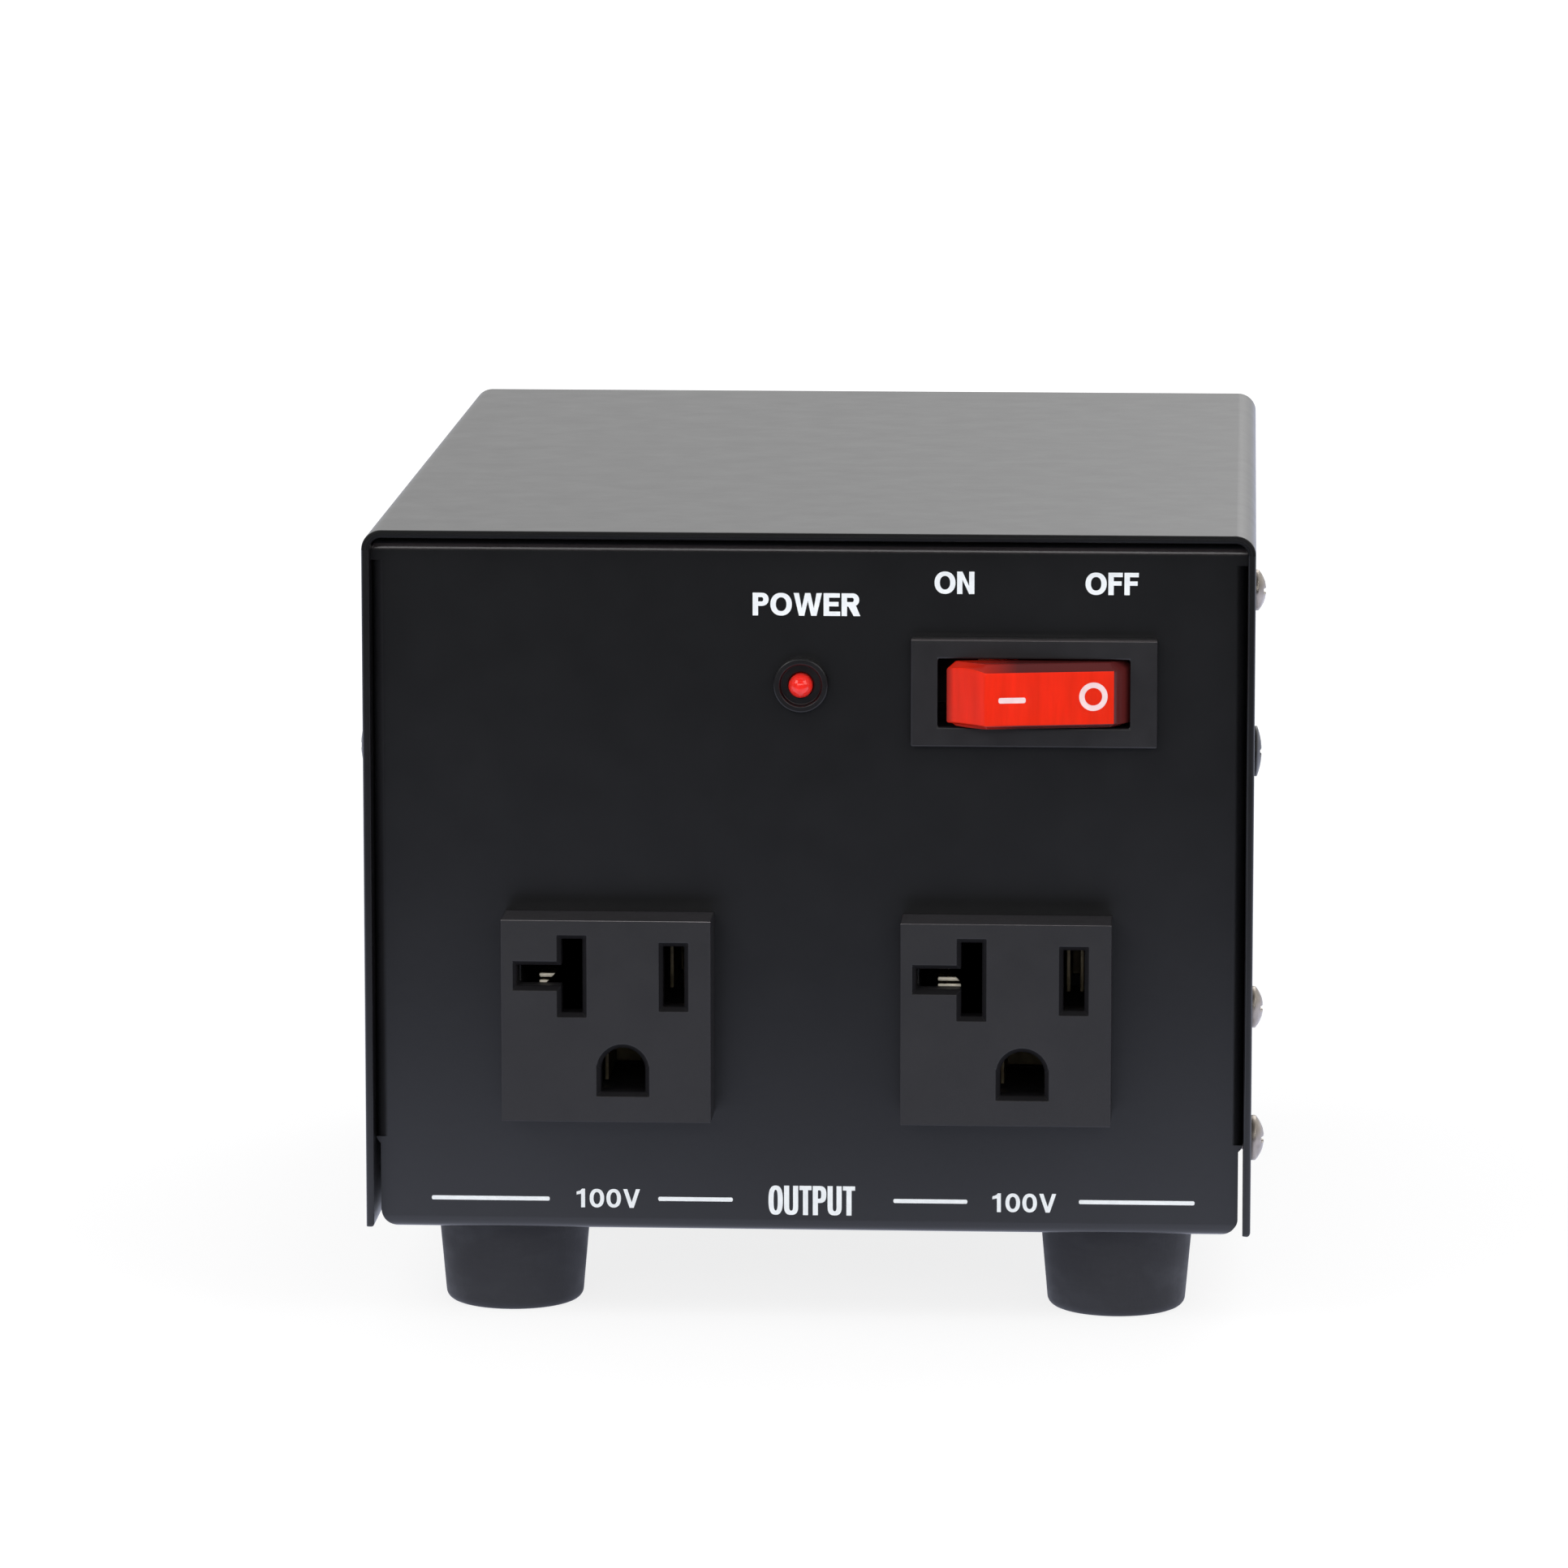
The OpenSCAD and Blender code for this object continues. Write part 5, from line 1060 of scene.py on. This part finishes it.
class TRANSFORMER_OT_core(Operator):
    """Laminated core, bobbin, windings, tape and their steel frame"""
    bl_idname = "transformer.core"
    bl_label = "Core and windings"

    def execute(self, context):
        iron = self.laminations()
        for node in ("core_e_stack", "core_i_stack"):
            dress(node, iron, sizes().fine_edge)
        natural = moulded_plastic("natural nylon", (0.74, 0.71, 0.60),
                                  grain=0.0005, depth=0.00002, rough=(0.35, 0.5))
        dress("bobbin", natural, sizes().small_edge)
        wire = self.wire()
        for node in ("primary_winding", "secondary_winding"):
            dress(node, wire, sizes().fine_edge)
        dress("winding_tape", self.tape(), sizes().fine_edge)
        white = moulded_plastic("white nylon", (0.78, 0.78, 0.74),
                                grain=0.0005, depth=0.00002, rough=(0.4, 0.55))
        dress("thermal_cutoff", white, sizes().cutoff_edge, segments=3)
        dress("terminal_strip", white, sizes().foot_edge)
        dress("strip_inserts", plated_metal("strip brass", **BRASS), sizes().metal_edge)
        zinc = plated_metal("zinc sheet", (0.60, 0.61, 0.62), (0.26, 0.44))
        for node in ("front_clamp", "rear_clamp", "top_straps"):
            dress(node, zinc, sizes().fine_edge)
        return {"FINISHED"}

    def laminations(self):
        """Sheets of steel, one behind the other, varnished and a little rusty."""
        tree = Tree("varnished laminations")
        sheets = tree.waves("Y", band=0.5 * MM, distortion=0.6)
        rust = tree.spread(tree.noise(size=0.005, detail=5), 0, 1, from_low=0.5, from_high=0.75)
        steel = tree.blend(sheets, (0.10, 0.10, 0.105), (0.20, 0.20, 0.205))
        tree.colour(tree.blend(rust, steel, (0.16, 0.10, 0.06)))
        tree.set(metallic=0.6)
        tree.uneven_gloss(0.002, 4, 0.4, 0.6)
        tree.bump(sheets, strength=0.4, depth=0.0001)
        return tree.material

    def wire(self):
        """Turns of enamelled copper, one above the other."""
        tree = Tree("enamelled copper wire")
        turns = tree.waves("Z", band=0.9 * MM, distortion=0.4)
        tree.colour(tree.blend(turns, (0.26, 0.09, 0.03), (0.62, 0.26, 0.10)))
        tree.set(metallic=0.7)
        tree.uneven_gloss(0.002, 4, 0.22, 0.36)
        tree.bump(turns, strength=0.8, depth=0.0003)
        return tree.material

    def tape(self):
        tree = Tree("yellow polyester tape")
        creases = tree.noise(size=0.012, detail=5, rough=0.6, vector=tree.stretched((1, 1, 0.35)))
        tree.colour(tree.blend(tree.spread(creases, 0, 1), (0.62, 0.44, 0.03), (0.80, 0.60, 0.06)))
        tree.uneven_gloss(0.003, 4, 0.18, 0.34)
        tree.bump(creases, strength=0.4, depth=0.0006)
        return tree.material


# The colours of the leads' insulation
LEADS = {
    "line_leads": (0.42, 0.012, 0.010),
    "neutral_lead": (0.72, 0.72, 0.70),
    "output_leads": (0.016, 0.016, 0.018),
    "earth_leads": (0.02, 0.17, 0.04),
    "lamp_leads": (0.016, 0.016, 0.018),
}


class TRANSFORMER_OT_leads(Operator):
    """Internal leads in coloured insulation"""
    bl_idname = "transformer.leads"
    bl_label = "Leads"

    def execute(self, context):
        for node, colour in LEADS.items():
            insulation = glossy_plastic("insulation of " + node, colour, (0.28, 0.42))
            piece = copy_of(node, node + "_finished")
            shade(piece, 60)
            finish(piece, insulation, "case", [node])
        return {"FINISHED"}


class TRANSFORMER_PT_sidebar(Panel):
    """Sizes, colours and pieces of the transformer"""
    bl_idname = "TRANSFORMER_PT_sidebar"
    bl_label = "Step-down transformer"
    bl_space_type = "VIEW_3D"
    bl_region_type = "UI"
    bl_category = "Transformer"

    def draw(self, context):
        layout = self.layout
        for group in (context.scene.transformer_sizes, context.scene.transformer_colours):
            box = layout.box()
            for name in group.__annotations__:
                box.prop(group, name)
        column = layout.column(align=True)
        for operator in OPERATORS:
            column.operator(operator.bl_idname)


OPERATORS = (
    TRANSFORMER_OT_stage,
    TRANSFORMER_OT_case,
    TRANSFORMER_OT_legends,
    TRANSFORMER_OT_outlets,
    TRANSFORMER_OT_switch,
    TRANSFORMER_OT_lamp,
    TRANSFORMER_OT_screws,
    TRANSFORMER_OT_feet,
    TRANSFORMER_OT_rear,
    TRANSFORMER_OT_core,
    TRANSFORMER_OT_leads,
)
CLASSES = (TransformerSizes, TransformerColours, *OPERATORS, TRANSFORMER_PT_sidebar)


def register():
    for cls in CLASSES:
        bpy.utils.register_class(cls)
    bpy.types.Scene.transformer_sizes = PointerProperty(type=TransformerSizes)
    bpy.types.Scene.transformer_colours = PointerProperty(type=TransformerColours)


def unregister():
    del bpy.types.Scene.transformer_colours
    del bpy.types.Scene.transformer_sizes
    for cls in reversed(CLASSES):
        bpy.utils.unregister_class(cls)


def main():
    register()
    for operator in OPERATORS:
        group, name = operator.bl_idname.split(".")
        getattr(getattr(bpy.ops, group), name)()


if __name__ == "__main__":
    main()
